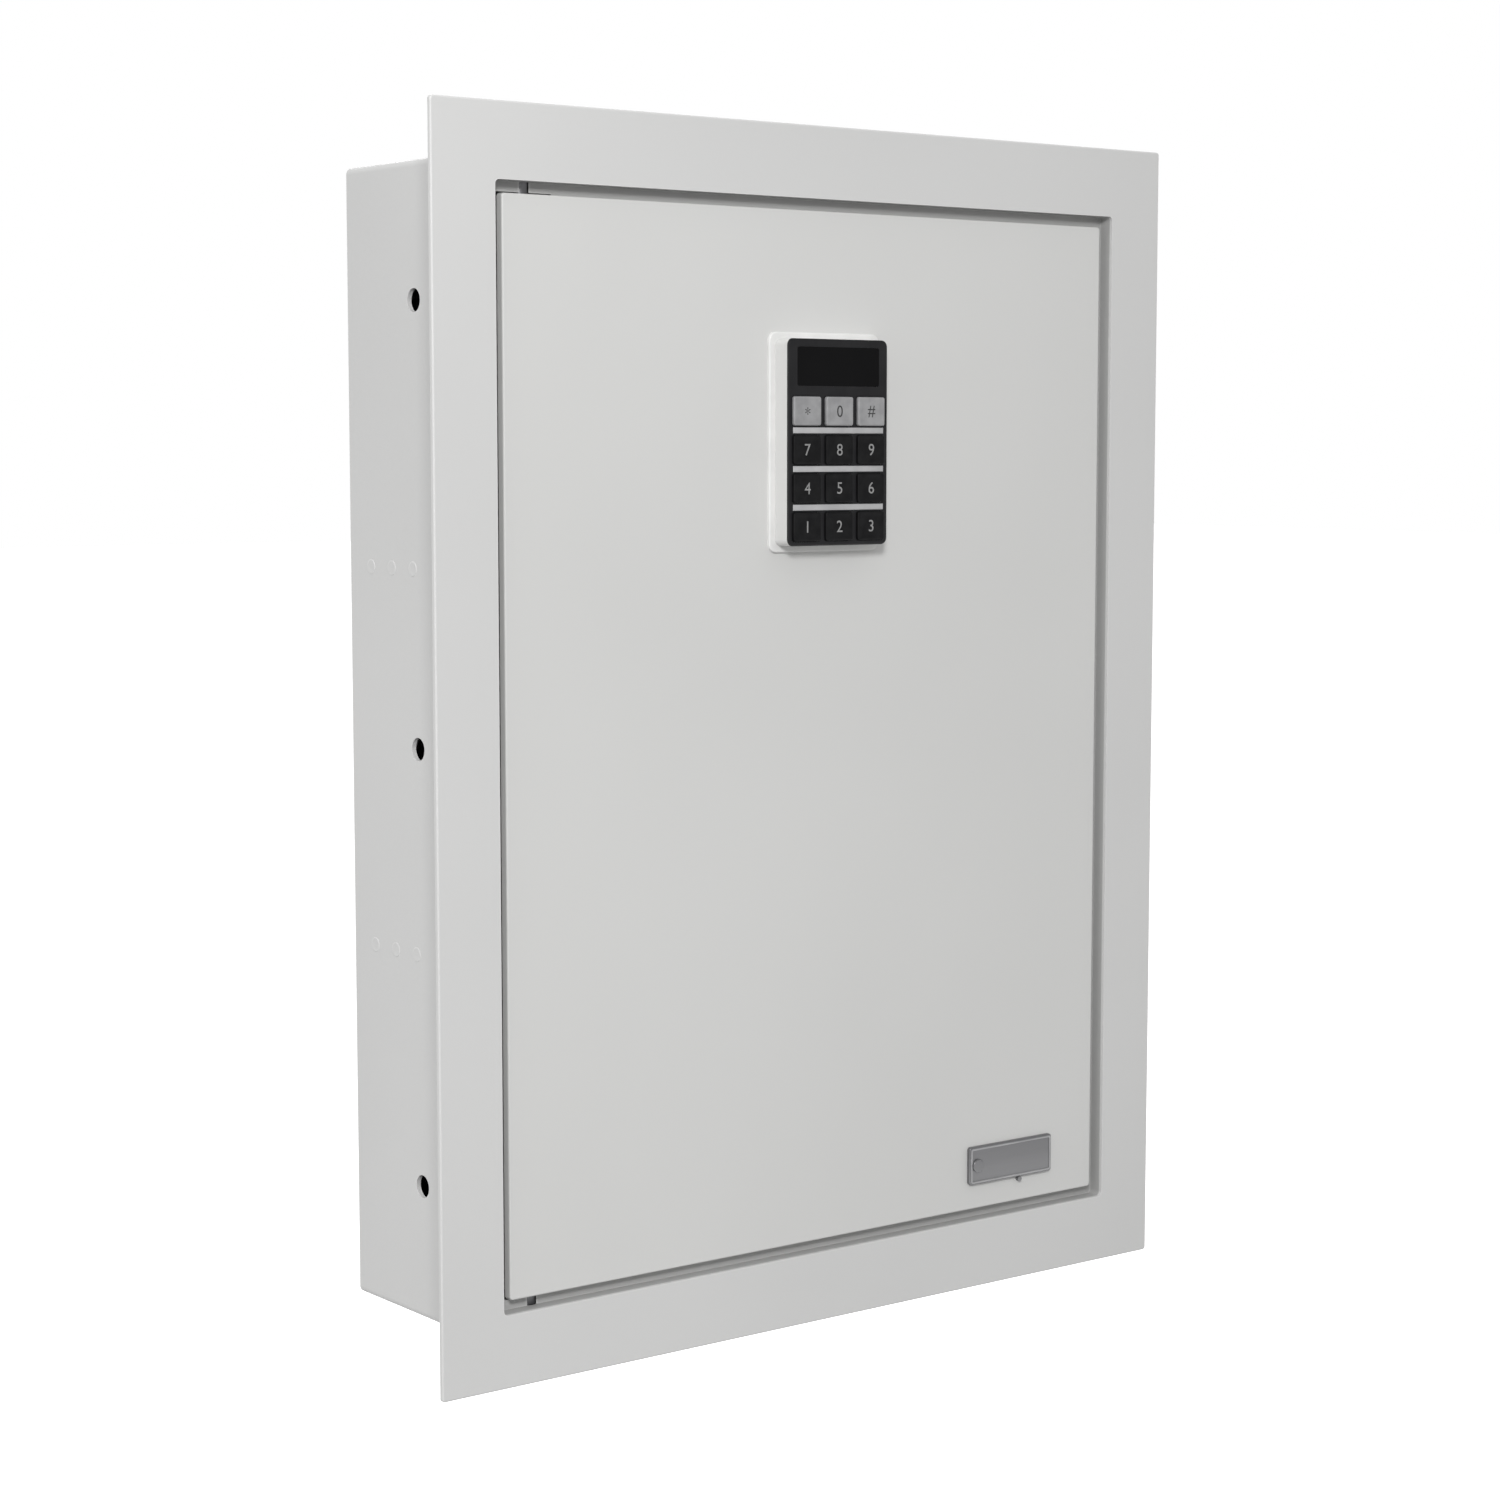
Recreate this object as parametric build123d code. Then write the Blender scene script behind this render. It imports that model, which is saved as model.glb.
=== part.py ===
from build123d import *
import os
from math import acos, cos, hypot, pi, radians, sin, tan

# A wall safe that is let in between two studs. Millimetres. +Z is up, +X is to the right as one
# stands before the door, and -Y is the room. The origin is the centre of the wall flange's back
# face, which lies against the wall, so the body runs to +Y and only sheet and keypad to -Y.

# Cabinet
BODY_WIDTH = 362.0
BODY_HEIGHT = 492.0
BODY_DEPTH = 102.0
BODY_SHEET = 2.0
BODY_CORNER = 3.0
FLANGE_BEYOND_SIDE = 22.0
FLANGE_BEYOND_END = 20.5
FLANGE_SHEET = 2.0
FLANGE_CORNER = 1.5
SEAT_DEPTH = 0.4
OPENING_FROM_SIDE = 8.5
OPENING_FROM_END = 11.0
OPENING_CORNER = 2.0
FRAME_SHEET = 2.0
LIP_WIDTH = 9.5
LIP_PAST_DOOR = 0.8
STUD_HOLE_R = 5.0
STUD_HOLE_FROM_END = 58.0
STUD_HOLE_DEPTH = 48.0

# Door
DOOR_GAP = 5.0
DOOR_RECESS = 3.0
DOOR_SHEET = 4.0
DOOR_CORNER = 1.5
EDGE_ROUND = 0.8
STOP_GAP = 1.0
COVER_BEHIND_BOLT = 6.0
COVER_SHEET = 1.2
COVER_CORNER = 3.0
COVER_BOLT_SIDE = 12.5
COVER_END_SIDE = 8.0

# Hinge
HINGE_INSET = 14.0
PIN_R = 3.0
PIN_RUN = 0.05
PIN_PRESS = 0.02
COLLAR_STEP = 1.2
BUSH_WALL = 1.45
PAD_SHEET = 3.0
KNUCKLE = 10.0
LUG_HEIGHT = 42.0
LUG_SPINE = 5.0
SPRING_WIRE = 1.0
SPRING_RUN = 0.35
SPRING_TO_DOOR = 0.65
SWEEP_GAP = 0.6

# Bolt work
BOLT_R = 6.0
BOLT_FROM_END = 80.0
BOLT_THROW = 16.0
BOLT_PROUD = 1.0
BOLT_RUN = 0.25
BAR_THICK = 4.0
BAR_WIDTH = 15.0
BAR_PAST_BOLT = 20.0
BAR_GRIP = 8.0
GUIDE_SHEET = 3.0
GUIDE_INSIDE = 2.8
SCREW_FROM_BOLT = 50.0
SCREW_R = 3.0
SLOT_RUN = 0.3
STRIKE_SHEET = 3.0
STRIKE_LEG = 2.5
STRIKE_RUN = 0.5
MODULE = 1.0
TEETH = 18
PRESSURE = radians(20)
BACKLASH = 0.3
DRIVE_FROM_BAR = 29.0
DRIVE_BELOW_BOX_TOP = 44.0

# Shelves and lining
SHELF_SHEET = 1.2
SHELF_Z = 82.0
SHELF_BEHIND_COVER = 7.0
SHELF_SIDE_GAP = 2.0
RAIL_SHEET = 1.5
RAIL_WIDTH = 14.0
MAT_THICK = 3.0
MAT_GAP = 3.0

# Keypad
PAD_PROUD = 11.0
PAD_FROM_TOP = 101.0
PAD_WALL = 1.2
PAD_RUN = 0.4
PAD_CORNER = 3.0
BASE_RIM = 3.0
BASE_SHEET = 1.6
KEY_WIDTH = 15.2
KEY_HEIGHT = 12.6
KEY_RIB_X = 2.8
KEY_RIB_Z = 4.15
KEY_TRAVEL = 0.9
KEY_GAP = 0.2
KEY_RIM = 0.6
WINDOW_SIDE = 5.0
WINDOW_HEIGHT = 17.0
WINDOW_TOP = 3.5
WINDOW_ABOVE_KEYS = 4.65

# Control box and leads
CONTROL_WIDTH = 90.0
CONTROL_TALL = 75.0
CONTROL_DEEP = 19.0
CONTROL_WALL = 1.5
CONTROL_BELOW_PAD = 42.0
KEYPAD_LEAD_R = 2.0
POWER_LEAD_R = 1.3
LEAD_BEND = 8.0
BATTERY_LEAD_X = -10.0

# Lock under the badge
BADGE_WIDTH = 52.0
BADGE_HEIGHT = 18.0
BADGE_THICK = 1.8
BADGE_FROM_RIGHT = 53.5
STOP_PIN_R = 1.2
BARREL_R = 7.0
NUT_WALL = 3.5
NUT_TO_COVER = 1.3
BARREL_LONG = 21.0
PLUG_R = 4.8
CAM_LONG = 26.0

# Power
CELL_R = 7.1
CELL_LONG = 49.2
CELL_PITCH = 14.8
CELLS = 4
BATTERY_Z = -64.0
HOLDER_WALL = 2.5
RESET_X = 62.0

# Places worked out from the sizes above
FLANGE_WIDTH = BODY_WIDTH + 2 * FLANGE_BEYOND_SIDE
FLANGE_HEIGHT = BODY_HEIGHT + 2 * FLANGE_BEYOND_END
OPENING_WIDTH = BODY_WIDTH - 2 * OPENING_FROM_SIDE
OPENING_HEIGHT = BODY_HEIGHT - 2 * OPENING_FROM_END
STUD_HOLE_PITCH = BODY_HEIGHT / 2 - STUD_HOLE_FROM_END
FLANGE_FRONT = -FLANGE_SHEET
DOOR_FRONT = FLANGE_FRONT + DOOR_RECESS
DOOR_BACK = DOOR_FRONT + DOOR_SHEET
DOOR_HALF = OPENING_WIDTH / 2 - DOOR_GAP
DOOR_TOP = OPENING_HEIGHT / 2 - DOOR_GAP
LIP_FRONT = DOOR_BACK + STOP_GAP
FRAME_BACK = LIP_FRONT + FRAME_SHEET
INSIDE_HALF = BODY_WIDTH / 2 - BODY_SHEET
INSIDE_TOP = BODY_HEIGHT / 2 - BODY_SHEET
INSIDE_BACK = BODY_DEPTH - BODY_SHEET
COLLAR_R = PIN_R + COLLAR_STEP
BUSH_R = PIN_R + PIN_RUN + BUSH_WALL
SPRING_R = PIN_R + SPRING_RUN + SPRING_WIRE / 2
SPRING_OUTER = SPRING_R + SPRING_WIRE / 2
LUG_REACH = SPRING_OUTER + 3.15
HINGE_X = -DOOR_HALF + HINGE_INSET
HINGE_Y = DOOR_BACK + SPRING_OUTER + SPRING_TO_DOOR
SWEEP_R = hypot(HINGE_INSET, HINGE_Y - DOOR_FRONT)
RETURN_FRONT = HINGE_Y + SWEEP_R + SWEEP_GAP
RETURN_BACK = RETURN_FRONT + FRAME_SHEET
PAD_LOW = OPENING_HEIGHT / 2 + FRAME_SHEET
KNUCKLE_TOP = DOOR_TOP - 2.0
SPRING_LEG_Z = KNUCKLE_TOP - LUG_HEIGHT + KNUCKLE + 1.0 + SPRING_WIRE
COVER_LEFT = HINGE_X + LUG_REACH + LUG_SPINE + 1.0
COVER_RIGHT = DOOR_HALF - COVER_BOLT_SIDE
COVER_TOP = DOOR_TOP - COVER_END_SIDE
BOLT_Y = FRAME_BACK + STRIKE_LEG + STRIKE_RUN + BOLT_R
COVER_BACK = BOLT_Y + BOLT_R + COVER_BEHIND_BOLT
COVER_INNER = COVER_BACK - COVER_SHEET
BOLT_PITCH = DOOR_TOP - BOLT_FROM_END
BOLT_TIP = COVER_RIGHT + BOLT_PROUD
GUIDE_RIGHT = COVER_RIGHT - COVER_SHEET - GUIDE_INSIDE
BAR_RIGHT = GUIDE_RIGHT - GUIDE_SHEET - BOLT_THROW - 2.0
BAR_LEFT = BAR_RIGHT - BAR_WIDTH
BAR_Y = (BOLT_Y - BAR_THICK / 2, BOLT_Y + BAR_THICK / 2)
BAR_TALL = BOLT_PITCH + BAR_PAST_BOLT
GUIDE_SCREW_X = BAR_LEFT - SCREW_R
SCREW_Z = BOLT_PITCH - SCREW_FROM_BOLT
DRIVE_X = BAR_LEFT - DRIVE_FROM_BAR
STRIKE_LEFT = OPENING_WIDTH / 2 - LIP_WIDTH + 3.0
PITCH_R = MODULE * TEETH / 2
SHELF_FRONT = COVER_BACK + SHELF_BEHIND_COVER
SHELF_BACK = INSIDE_BACK - 2.0
KEY_PITCH_X = KEY_WIDTH + KEY_RIB_X
KEY_PITCH_Z = KEY_HEIGHT + KEY_RIB_Z
KEY_ROOM = KEY_GAP + KEY_RIM
PAD_WIDTH = 2 * KEY_PITCH_X + KEY_WIDTH + 2 * (KEY_ROOM + PAD_RUN + PAD_WALL)
KEY_BLOCK = 3 * KEY_PITCH_Z + KEY_HEIGHT
PAD_HEIGHT = PAD_WALL + KEY_ROOM + KEY_BLOCK + WINDOW_ABOVE_KEYS + WINDOW_HEIGHT + WINDOW_TOP
PAD_Z = DOOR_TOP - PAD_FROM_TOP
WINDOW_WIDTH = PAD_WIDTH - 2 * WINDOW_SIDE
PAD_FRONT = DOOR_FRONT - PAD_PROUD
BASE_FRONT = DOOR_FRONT - BASE_SHEET
KEY_BOTTOM_Z = PAD_Z - PAD_HEIGHT / 2 + PAD_WALL + KEY_ROOM + KEY_HEIGHT / 2 + 0.1
KEY_FLANGE = (PAD_FRONT + PAD_WALL + 0.1, PAD_FRONT + PAD_WALL + 1.1)
MAT_FRONT = KEY_FLANGE[1] + KEY_TRAVEL + 0.9
BOARD = (MAT_FRONT + 1.2, MAT_FRONT + 2.8)
WINDOW_Z = PAD_Z + PAD_HEIGHT / 2 - WINDOW_HEIGHT / 2 - WINDOW_TOP
CONTROL_TOP = PAD_Z - CONTROL_BELOW_PAD
DRIVE_Z = CONTROL_TOP - DRIVE_BELOW_BOX_TOP
LEAD_Y = DOOR_BACK + 9.5
MOTOR_LEAD_Z = CONTROL_TOP - CONTROL_TALL + 14.0
BADGE_X = DOOR_HALF - BADGE_FROM_RIGHT
NUT_R = BARREL_R + NUT_WALL
BADGE_Z = -COVER_TOP + COVER_SHEET + NUT_R + NUT_TO_COVER
BADGE_Y = (DOOR_FRONT - 0.1 - BADGE_THICK, DOOR_FRONT - 0.1)
RIVET_X = BADGE_X - BADGE_WIDTH / 2 + 5.0
LOCK_X = BADGE_X + 6.0
STOP_PIN_Z = BADGE_Z - BADGE_HEIGHT / 2 - STOP_PIN_R - 0.05
BARREL_BACK = DOOR_FRONT + BARREL_LONG
CELL_Y = COVER_INNER - 1.0 - CELL_R
TRAY_HALF = CELLS * CELL_PITCH / 2 + 0.9
TRAY_TALL = CELL_LONG / 2 + 4.2
KEY_NAMES = ("clear", "0", "enter", "1", "2", "3", "4", "5", "6", "7", "8", "9")


def block(x, y, z):
    """A box, from a (low, high) pair along each axis."""
    size = [high - low for low, high in (x, y, z)]
    return Pos(sum(x) / 2, sum(y) / 2, sum(z) / 2) * Box(*size)


def rod(radius, x, y, z):
    """A round bar, as long as the one of x, y and z that is a (low, high) pair."""
    if isinstance(x, tuple):
        return Pos(sum(x) / 2, y, z) * Rot(0, 90, 0) * Cylinder(radius, x[1] - x[0])
    if isinstance(y, tuple):
        return Pos(x, sum(y) / 2, z) * Rot(90, 0, 0) * Cylinder(radius, y[1] - y[0])
    return Pos(x, y, sum(z) / 2) * Cylinder(radius, z[1] - z[0])


def slab(width, height, y, corner, x=0.0, z=0.0):
    """A plate that faces the room, with rounded corners, between two depths."""
    face = Plane.XZ.offset(-y[1]) * Pos(x, z) * RectangleRounded(width, height, corner)
    return extrude(face, y[1] - y[0])


def round_front(shape, radius):
    """The shape with the edges of its front face rounded."""
    return fillet(shape.faces().sort_by(Axis.Y)[0].edges(), radius)


def both(shape):
    """The shape and its mirror image below, as two pieces."""
    return [shape, mirror(shape, about=Plane.XY)]


def lead(points, radii, radius):
    """A wire along straight runs that are joined by arcs."""
    path = FilletPolyline(*points, radius=radii)
    start = Plane(origin=path @ 0, z_dir=path % 0)
    return sweep(start * Circle(radius), path=path)


def save(name, *pieces):
    """Writes one node from its separate pieces."""
    solids = [solid for piece in pieces for solid in piece.solids()]
    export_step(Compound(children=solids), f"parts/{name}.step")


def opening(grow, y, corner=OPENING_CORNER):
    """The door opening, larger or smaller all round, between two depths."""
    return slab(OPENING_WIDTH + 2 * grow, OPENING_HEIGHT + 2 * grow, y, corner)


# ---- Cabinet ----


def wall_flange():
    """The trim sheet that covers the cut edge of the wall board."""
    back = (-SEAT_DEPTH, 1.0)
    sheet = slab(FLANGE_WIDTH, FLANGE_HEIGHT, (FLANGE_FRONT, 0.0), FLANGE_CORNER)
    sheet = round_front(sheet, EDGE_ROUND)
    seat = slab(BODY_WIDTH, BODY_HEIGHT, back, BODY_CORNER)
    return sheet - opening(0, (FLANGE_FRONT - 1, 1.0)) - seat


def body_wrap():
    """The four walls, one bent strip, with the stud holes in both sides."""
    outer = slab(BODY_WIDTH, BODY_HEIGHT, (-SEAT_DEPTH, BODY_DEPTH), BODY_CORNER)
    inner_corner = BODY_CORNER - BODY_SHEET
    inner = slab(2 * INSIDE_HALF, 2 * INSIDE_TOP, (-1.0, BODY_DEPTH + 1), inner_corner)
    wrap = outer - inner
    for z in (-STUD_HOLE_PITCH, 0.0, STUD_HOLE_PITCH):
        wrap -= rod(STUD_HOLE_R, (-BODY_WIDTH, BODY_WIDTH), STUD_HOLE_DEPTH, z)
    return wrap


def back_panel():
    corner = BODY_CORNER - BODY_SHEET
    return slab(2 * INSIDE_HALF, 2 * INSIDE_TOP, (INSIDE_BACK, BODY_DEPTH), corner)


def door_frame():
    """The jamb round the door, with a stop lip on every side but the hinge side.

    There the door's edge turns inwards as it opens, so the jamb runs on behind it to a return. Only past
    the door's top and bottom edges does a narrow strip of the lip go on to the corners.
    """
    y = (-SEAT_DEPTH, FRAME_BACK)
    jamb = opening(FRAME_SHEET, y, OPENING_CORNER + FRAME_SHEET) - opening(0, (-1, FRAME_BACK + 1))
    lip = opening(0, (LIP_FRONT, FRAME_BACK)) - opening(-LIP_WIDTH, (0, FRAME_BACK + 1))
    level = DOOR_TOP + LIP_PAST_DOOR
    lip -= block((-OPENING_WIDTH, COVER_LEFT), (0, FRAME_BACK + 1), (-level, level))
    side, tall = -OPENING_WIDTH / 2, OPENING_HEIGHT / 2 - OPENING_CORNER
    deep = block((side - FRAME_SHEET, side), (FRAME_BACK, RETURN_BACK), (-tall, tall))
    deep += block((side, COVER_LEFT - 2.0), (RETURN_FRONT, RETURN_BACK), (-tall, tall))
    for z in (-SPRING_LEG_Z, SPRING_LEG_Z):
        deep -= rod(SPRING_WIRE, HINGE_X + SPRING_R, (RETURN_FRONT - 1, RETURN_BACK + 1), z)
    ring = jamb + lip + deep
    pin_way = rod(COLLAR_R + 0.4, HINGE_X, HINGE_Y, (-BODY_HEIGHT / 2, BODY_HEIGHT / 2))
    return ring - pin_way


def strike_plate():
    """A channel behind the lip, on the side wall, that the bolts run into."""
    x = (STRIKE_LEFT, INSIDE_HALF)
    inside = (FRAME_BACK + STRIKE_LEG, BOLT_Y + BOLT_R + 6.5)
    y = (FRAME_BACK, inside[1] + STRIKE_LEG)
    tall = BOLT_PITCH + 35.0
    channel = block(x, y, (-tall, tall))
    channel -= block((x[0] + STRIKE_SHEET, x[1] + 1), inside, (-tall - 1, tall + 1))
    for z in (-BOLT_PITCH, 0.0, BOLT_PITCH):
        channel -= rod(BOLT_R + 0.8, (x[0] - 1, x[0] + STRIKE_SHEET + 1), BOLT_Y, z)
    return channel


def pivot_bracket():
    """An angle welded to the top wall. Its flat pad holds the bush of the upper pin."""
    x = (HINGE_X - 12.0, HINGE_X + 12.0)
    pad = block(x, (HINGE_Y - 7.0, HINGE_Y + 10.0), (PAD_LOW, PAD_LOW + PAD_SHEET))
    leg = block(x, (HINGE_Y + 7.0, HINGE_Y + 10.0), (PAD_LOW, INSIDE_TOP))
    hole = rod(BUSH_R + PIN_PRESS, HINGE_X, HINGE_Y, (PAD_LOW - 1, INSIDE_TOP))
    return pad + leg - hole


def pivot_bush():
    top = PAD_LOW + PAD_SHEET
    bush = rod(BUSH_R, HINGE_X, HINGE_Y, (PAD_LOW, top))
    bush += rod(BUSH_R + 1.5, HINGE_X, HINGE_Y, (top, top + 1.0))
    return bush - rod(PIN_R + PIN_RUN, HINGE_X, HINGE_Y, (PAD_LOW - 1, INSIDE_TOP))


def shelf(z):
    """A folded shelf: its front lip turns down and its back lip turns up."""
    half = INSIDE_HALF - SHELF_SIDE_GAP
    tray = block((-half, half), (SHELF_FRONT, SHELF_BACK), (z, z + SHELF_SHEET))
    tray += block((-half, half), (SHELF_FRONT, SHELF_FRONT + SHELF_SHEET), (z - 9.0, z))
    return tray + block((-half, half), (SHELF_BACK - SHELF_SHEET, SHELF_BACK), (z, z + 8.0))


def shelf_rail(side, z):
    """One small angle, welded to a side wall under the end of a shelf."""
    wall = side * INSIDE_HALF
    y = (SHELF_FRONT + 6.0, SHELF_BACK - 4.0)
    ledge = sorted((wall, wall - side * RAIL_WIDTH))
    leg = sorted((wall, wall - side * RAIL_SHEET))
    return block(ledge, y, (z - RAIL_SHEET, z)) + block(leg, y, (z - 12.0, z))


def floor_mat():
    half = INSIDE_HALF - MAT_GAP
    depth = (COVER_BACK + 5.0, INSIDE_BACK - 1.0)
    return block((-half, half), depth, (-INSIDE_TOP, -INSIDE_TOP + MAT_THICK))


def door_bumpers():
    """Thin felt-like rubber dots on the lip, where the door lands."""
    y = (DOOR_BACK + 0.1, LIP_FRONT)
    side = OPENING_WIDTH / 2 - LIP_WIDTH + 2.4
    end = OPENING_HEIGHT / 2 - LIP_WIDTH + 2.4
    left = COVER_LEFT + 30.0
    spots = [(side, end - 35.0), (side, 35.0 - end), (left, end), (left, -end)]
    return [rod(2.0, x, y, z) for x, z in spots]


# ---- Door ----


def cover_spots():
    """Where the six screws of the inner cover stand."""
    left = COVER_LEFT + 18.0
    end = COVER_TOP - 17.0
    middle, right = BAR_LEFT - 45.0, BAR_LEFT - 13.0
    return [(left, end), (left, 0.0), (left, -end), (middle, end), (right, -22.0), (middle, -end)]


def pad_spots():
    """Where the four screws of the keypad stand."""
    side, end = PAD_WIDTH / 2 - 8.0, PAD_HEIGHT / 2 - 11.0
    return [(x, PAD_Z + z) for x in (-side, side) for z in (-end, end)]


def door_panel():
    """The door plate, with its holes for keypad lead, screws, lock and badge rivet."""
    y = (DOOR_FRONT, DOOR_BACK)
    through = (DOOR_FRONT - 1, DOOR_BACK + 1)
    plate = round_front(slab(2 * DOOR_HALF, 2 * DOOR_TOP, y, DOOR_CORNER), EDGE_ROUND)
    plate -= rod(6.0, 0.0, through, PAD_Z)
    for x, z in pad_spots():
        plate -= rod(1.7, x, through, z)
    plate -= rod(BARREL_R + 0.05, LOCK_X, through, BADGE_Z)
    plate -= rod(BARREL_R + 1.55, LOCK_X, (DOOR_FRONT - 1, DOOR_FRONT + 1.5), BADGE_Z)
    plate -= rod(2.0 + PIN_PRESS, RIVET_X, through, BADGE_Z)
    return plate - rod(STOP_PIN_R + PIN_PRESS, LOCK_X, through, STOP_PIN_Z)


def cover_rail(side):
    """One of the two guides that the battery cover slides in."""
    inner = side * (TRAY_HALF + 5.3)
    outer = inner + side * 3.0
    z = (BATTERY_Z - TRAY_TALL - 66.0, BATTERY_Z + TRAY_TALL + 4.0)
    web = block(sorted((inner, outer)), (COVER_BACK, COVER_BACK + 3.9), z)
    lip = block(sorted((inner - side * 2.5, outer)), (COVER_BACK + 2.6, COVER_BACK + 3.9), z)
    return web + lip


def inner_cover():
    """The tray that closes the back of the door over the bolt work."""
    width, middle = COVER_RIGHT - COVER_LEFT, (COVER_RIGHT + COVER_LEFT) / 2
    tray = slab(width, 2 * COVER_TOP, (DOOR_BACK, COVER_BACK), COVER_CORNER, middle)
    hollow_corner = COVER_CORNER - COVER_SHEET
    hollow = (width - 2 * COVER_SHEET, 2 * (COVER_TOP - COVER_SHEET))
    tray -= slab(*hollow, (DOOR_BACK - 1, COVER_INNER), hollow_corner, middle)
    for z in (-BOLT_PITCH, 0.0, BOLT_PITCH):
        tray -= rod(BOLT_R + 0.5, (COVER_RIGHT - 2, COVER_RIGHT + 1), BOLT_Y, z)
    through = (COVER_INNER - 1, COVER_BACK + 1)
    window = (2 * TRAY_HALF, 2 * TRAY_TALL)
    tray -= slab(*window, through, 1.0, 0.0, BATTERY_Z)
    tray -= rod(3.3, RESET_X, through, BATTERY_Z)
    for x, z in cover_spots():
        tray -= rod(2.1, x, through, z)
    return tray + cover_rail(-1) + cover_rail(1)


def standoff(x, z):
    """A threaded post, welded to the door plate, that a cover screw goes into."""
    post = rod(4.0, x, (DOOR_BACK, COVER_INNER), z)
    return post - rod(1.6, x, (COVER_INNER - 10.0, COVER_INNER + 1), z)


def cross_screw(x, z, head, tip, head_r, shank_r):
    """A screw whose flat head faces +Y, with a cross recess."""
    screw = rod(head_r, x, head, z) + rod(shank_r, x, (tip, head[0]), z)
    depth = (head[1] - 1.2, head[1] + 1)
    for width, height in ((0.9, head_r), (head_r, 0.9)):
        screw -= block((x - width / 2, x + width / 2), depth, (z - height / 2, z + height / 2))
    return screw


def hinge_lug():
    """A welded block with two knuckles, which the upper pin is pressed into."""
    y = (DOOR_BACK, HINGE_Y + 5.0)
    z = (KNUCKLE_TOP - LUG_HEIGHT, KNUCKLE_TOP)
    spine = block((HINGE_X + LUG_REACH, COVER_LEFT - 1.0), y, z)
    knuckle = (HINGE_X - LUG_REACH + 1.0, HINGE_X + LUG_REACH)
    lug = spine + block(knuckle, y, (z[1] - KNUCKLE, z[1])) + block(knuckle, y, (z[0], z[0] + KNUCKLE))
    return lug - rod(PIN_R + PIN_PRESS, HINGE_X, HINGE_Y, (z[0] - 1, z[1] + 1))


def hinge_pin():
    low = KNUCKLE_TOP - LUG_HEIGHT - 2.0
    pin = rod(PIN_R, HINGE_X, HINGE_Y, (low, INSIDE_TOP - 2.0))
    return pin + rod(COLLAR_R, HINGE_X, HINGE_Y, (KNUCKLE_TOP, PAD_LOW - 0.1))


def hinge_spring():
    """The space of a torsion spring: its coil round the pin, and a leg to each side."""
    z = (SPRING_LEG_Z - SPRING_WIRE, KNUCKLE_TOP - KNUCKLE - 1.0)
    wall = SPRING_WIRE / 2 + 0.05
    coil = rod(SPRING_R + wall, HINGE_X, HINGE_Y, z) - rod(SPRING_R - wall, HINGE_X, HINGE_Y, z)
    frame_leg = rod(SPRING_WIRE / 2, HINGE_X + SPRING_R, (HINGE_Y, RETURN_BACK + 2.0), SPRING_LEG_Z)
    reach = (HINGE_X, HINGE_X + LUG_REACH)
    return coil + frame_leg + rod(SPRING_WIRE / 2, reach, HINGE_Y + SPRING_R, z[1] - SPRING_WIRE)


def bolt_bar():
    """The bar that carries the bolts, with its slotted ears and the rack on one arm."""
    bar = block((BAR_LEFT, BAR_RIGHT), BAR_Y, (-BAR_TALL, BAR_TALL))
    slot_left = GUIDE_SCREW_X - BOLT_THROW - SLOT_RUN
    slot_right = GUIDE_SCREW_X + SLOT_RUN
    slot_r = SCREW_R + SLOT_RUN
    cut = (BAR_Y[0] - 1, BAR_Y[1] + 1)
    for z in (-SCREW_Z, SCREW_Z):
        bar += block((slot_left - slot_r - 4.0, BAR_RIGHT), BAR_Y, (z - 8.0, z + 8.0))
        bar -= block((slot_left, slot_right), cut, (z - slot_r, z + slot_r))
        bar -= rod(slot_r, slot_left, cut, z) + rod(slot_r, slot_right, cut, z)
    pitch_line = DRIVE_Z + PITCH_R
    root = pitch_line + 1.2 * MODULE
    first, last = -int(BOLT_THROW / (pi * MODULE)) - 3, 4
    bar += block((DRIVE_X + (first - 1) * pi * MODULE, BAR_LEFT), BAR_Y, (root, root + 10.0))
    half = pi * MODULE / 4 - BACKLASH / 2
    for k in range(first, last + 1):
        x = DRIVE_X + k * pi * MODULE
        wide, narrow = half + 1.2 * MODULE * tan(PRESSURE), half - 0.95 * MODULE * tan(PRESSURE)
        low = pitch_line - 0.95 * MODULE
        corners = [(x - wide, root), (x - narrow, low), (x + narrow, low), (x + wide, root)]
        tooth = Plane.XZ.offset(-BAR_Y[1]) * make_face(Polyline(*corners, close=True))
        bar += extrude(tooth, BAR_THICK)
    return bar


def live_bolt(z):
    """A round bolt, forked at its tail over the edge of the bar."""
    x = (BAR_RIGHT - BAR_GRIP, BOLT_TIP)
    bolt = rod(BOLT_R, x, BOLT_Y, z)
    bolt = chamfer(bolt.faces().sort_by(Axis.X)[-1].edges(), 1.2)
    return bolt - block((x[0] - 1, BAR_RIGHT), BAR_Y, (z - 10.0, z + 10.0))


def bolt_guide():
    """An angle spot-welded to the door plate, whose web carries the bolts."""
    tall = BOLT_PITCH + 22.0
    web = block((GUIDE_RIGHT - GUIDE_SHEET, GUIDE_RIGHT), (DOOR_BACK, COVER_INNER - 1.8), (-tall, tall))
    foot = block((GUIDE_RIGHT - 15.0, GUIDE_RIGHT), (DOOR_BACK, DOOR_BACK + 2.5), (-tall, tall))
    angle = web + foot
    for z in (-BOLT_PITCH, 0.0, BOLT_PITCH):
        angle -= rod(BOLT_R + BOLT_RUN, (GUIDE_RIGHT - 5, GUIDE_RIGHT + 1), BOLT_Y, z)
    return angle


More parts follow.
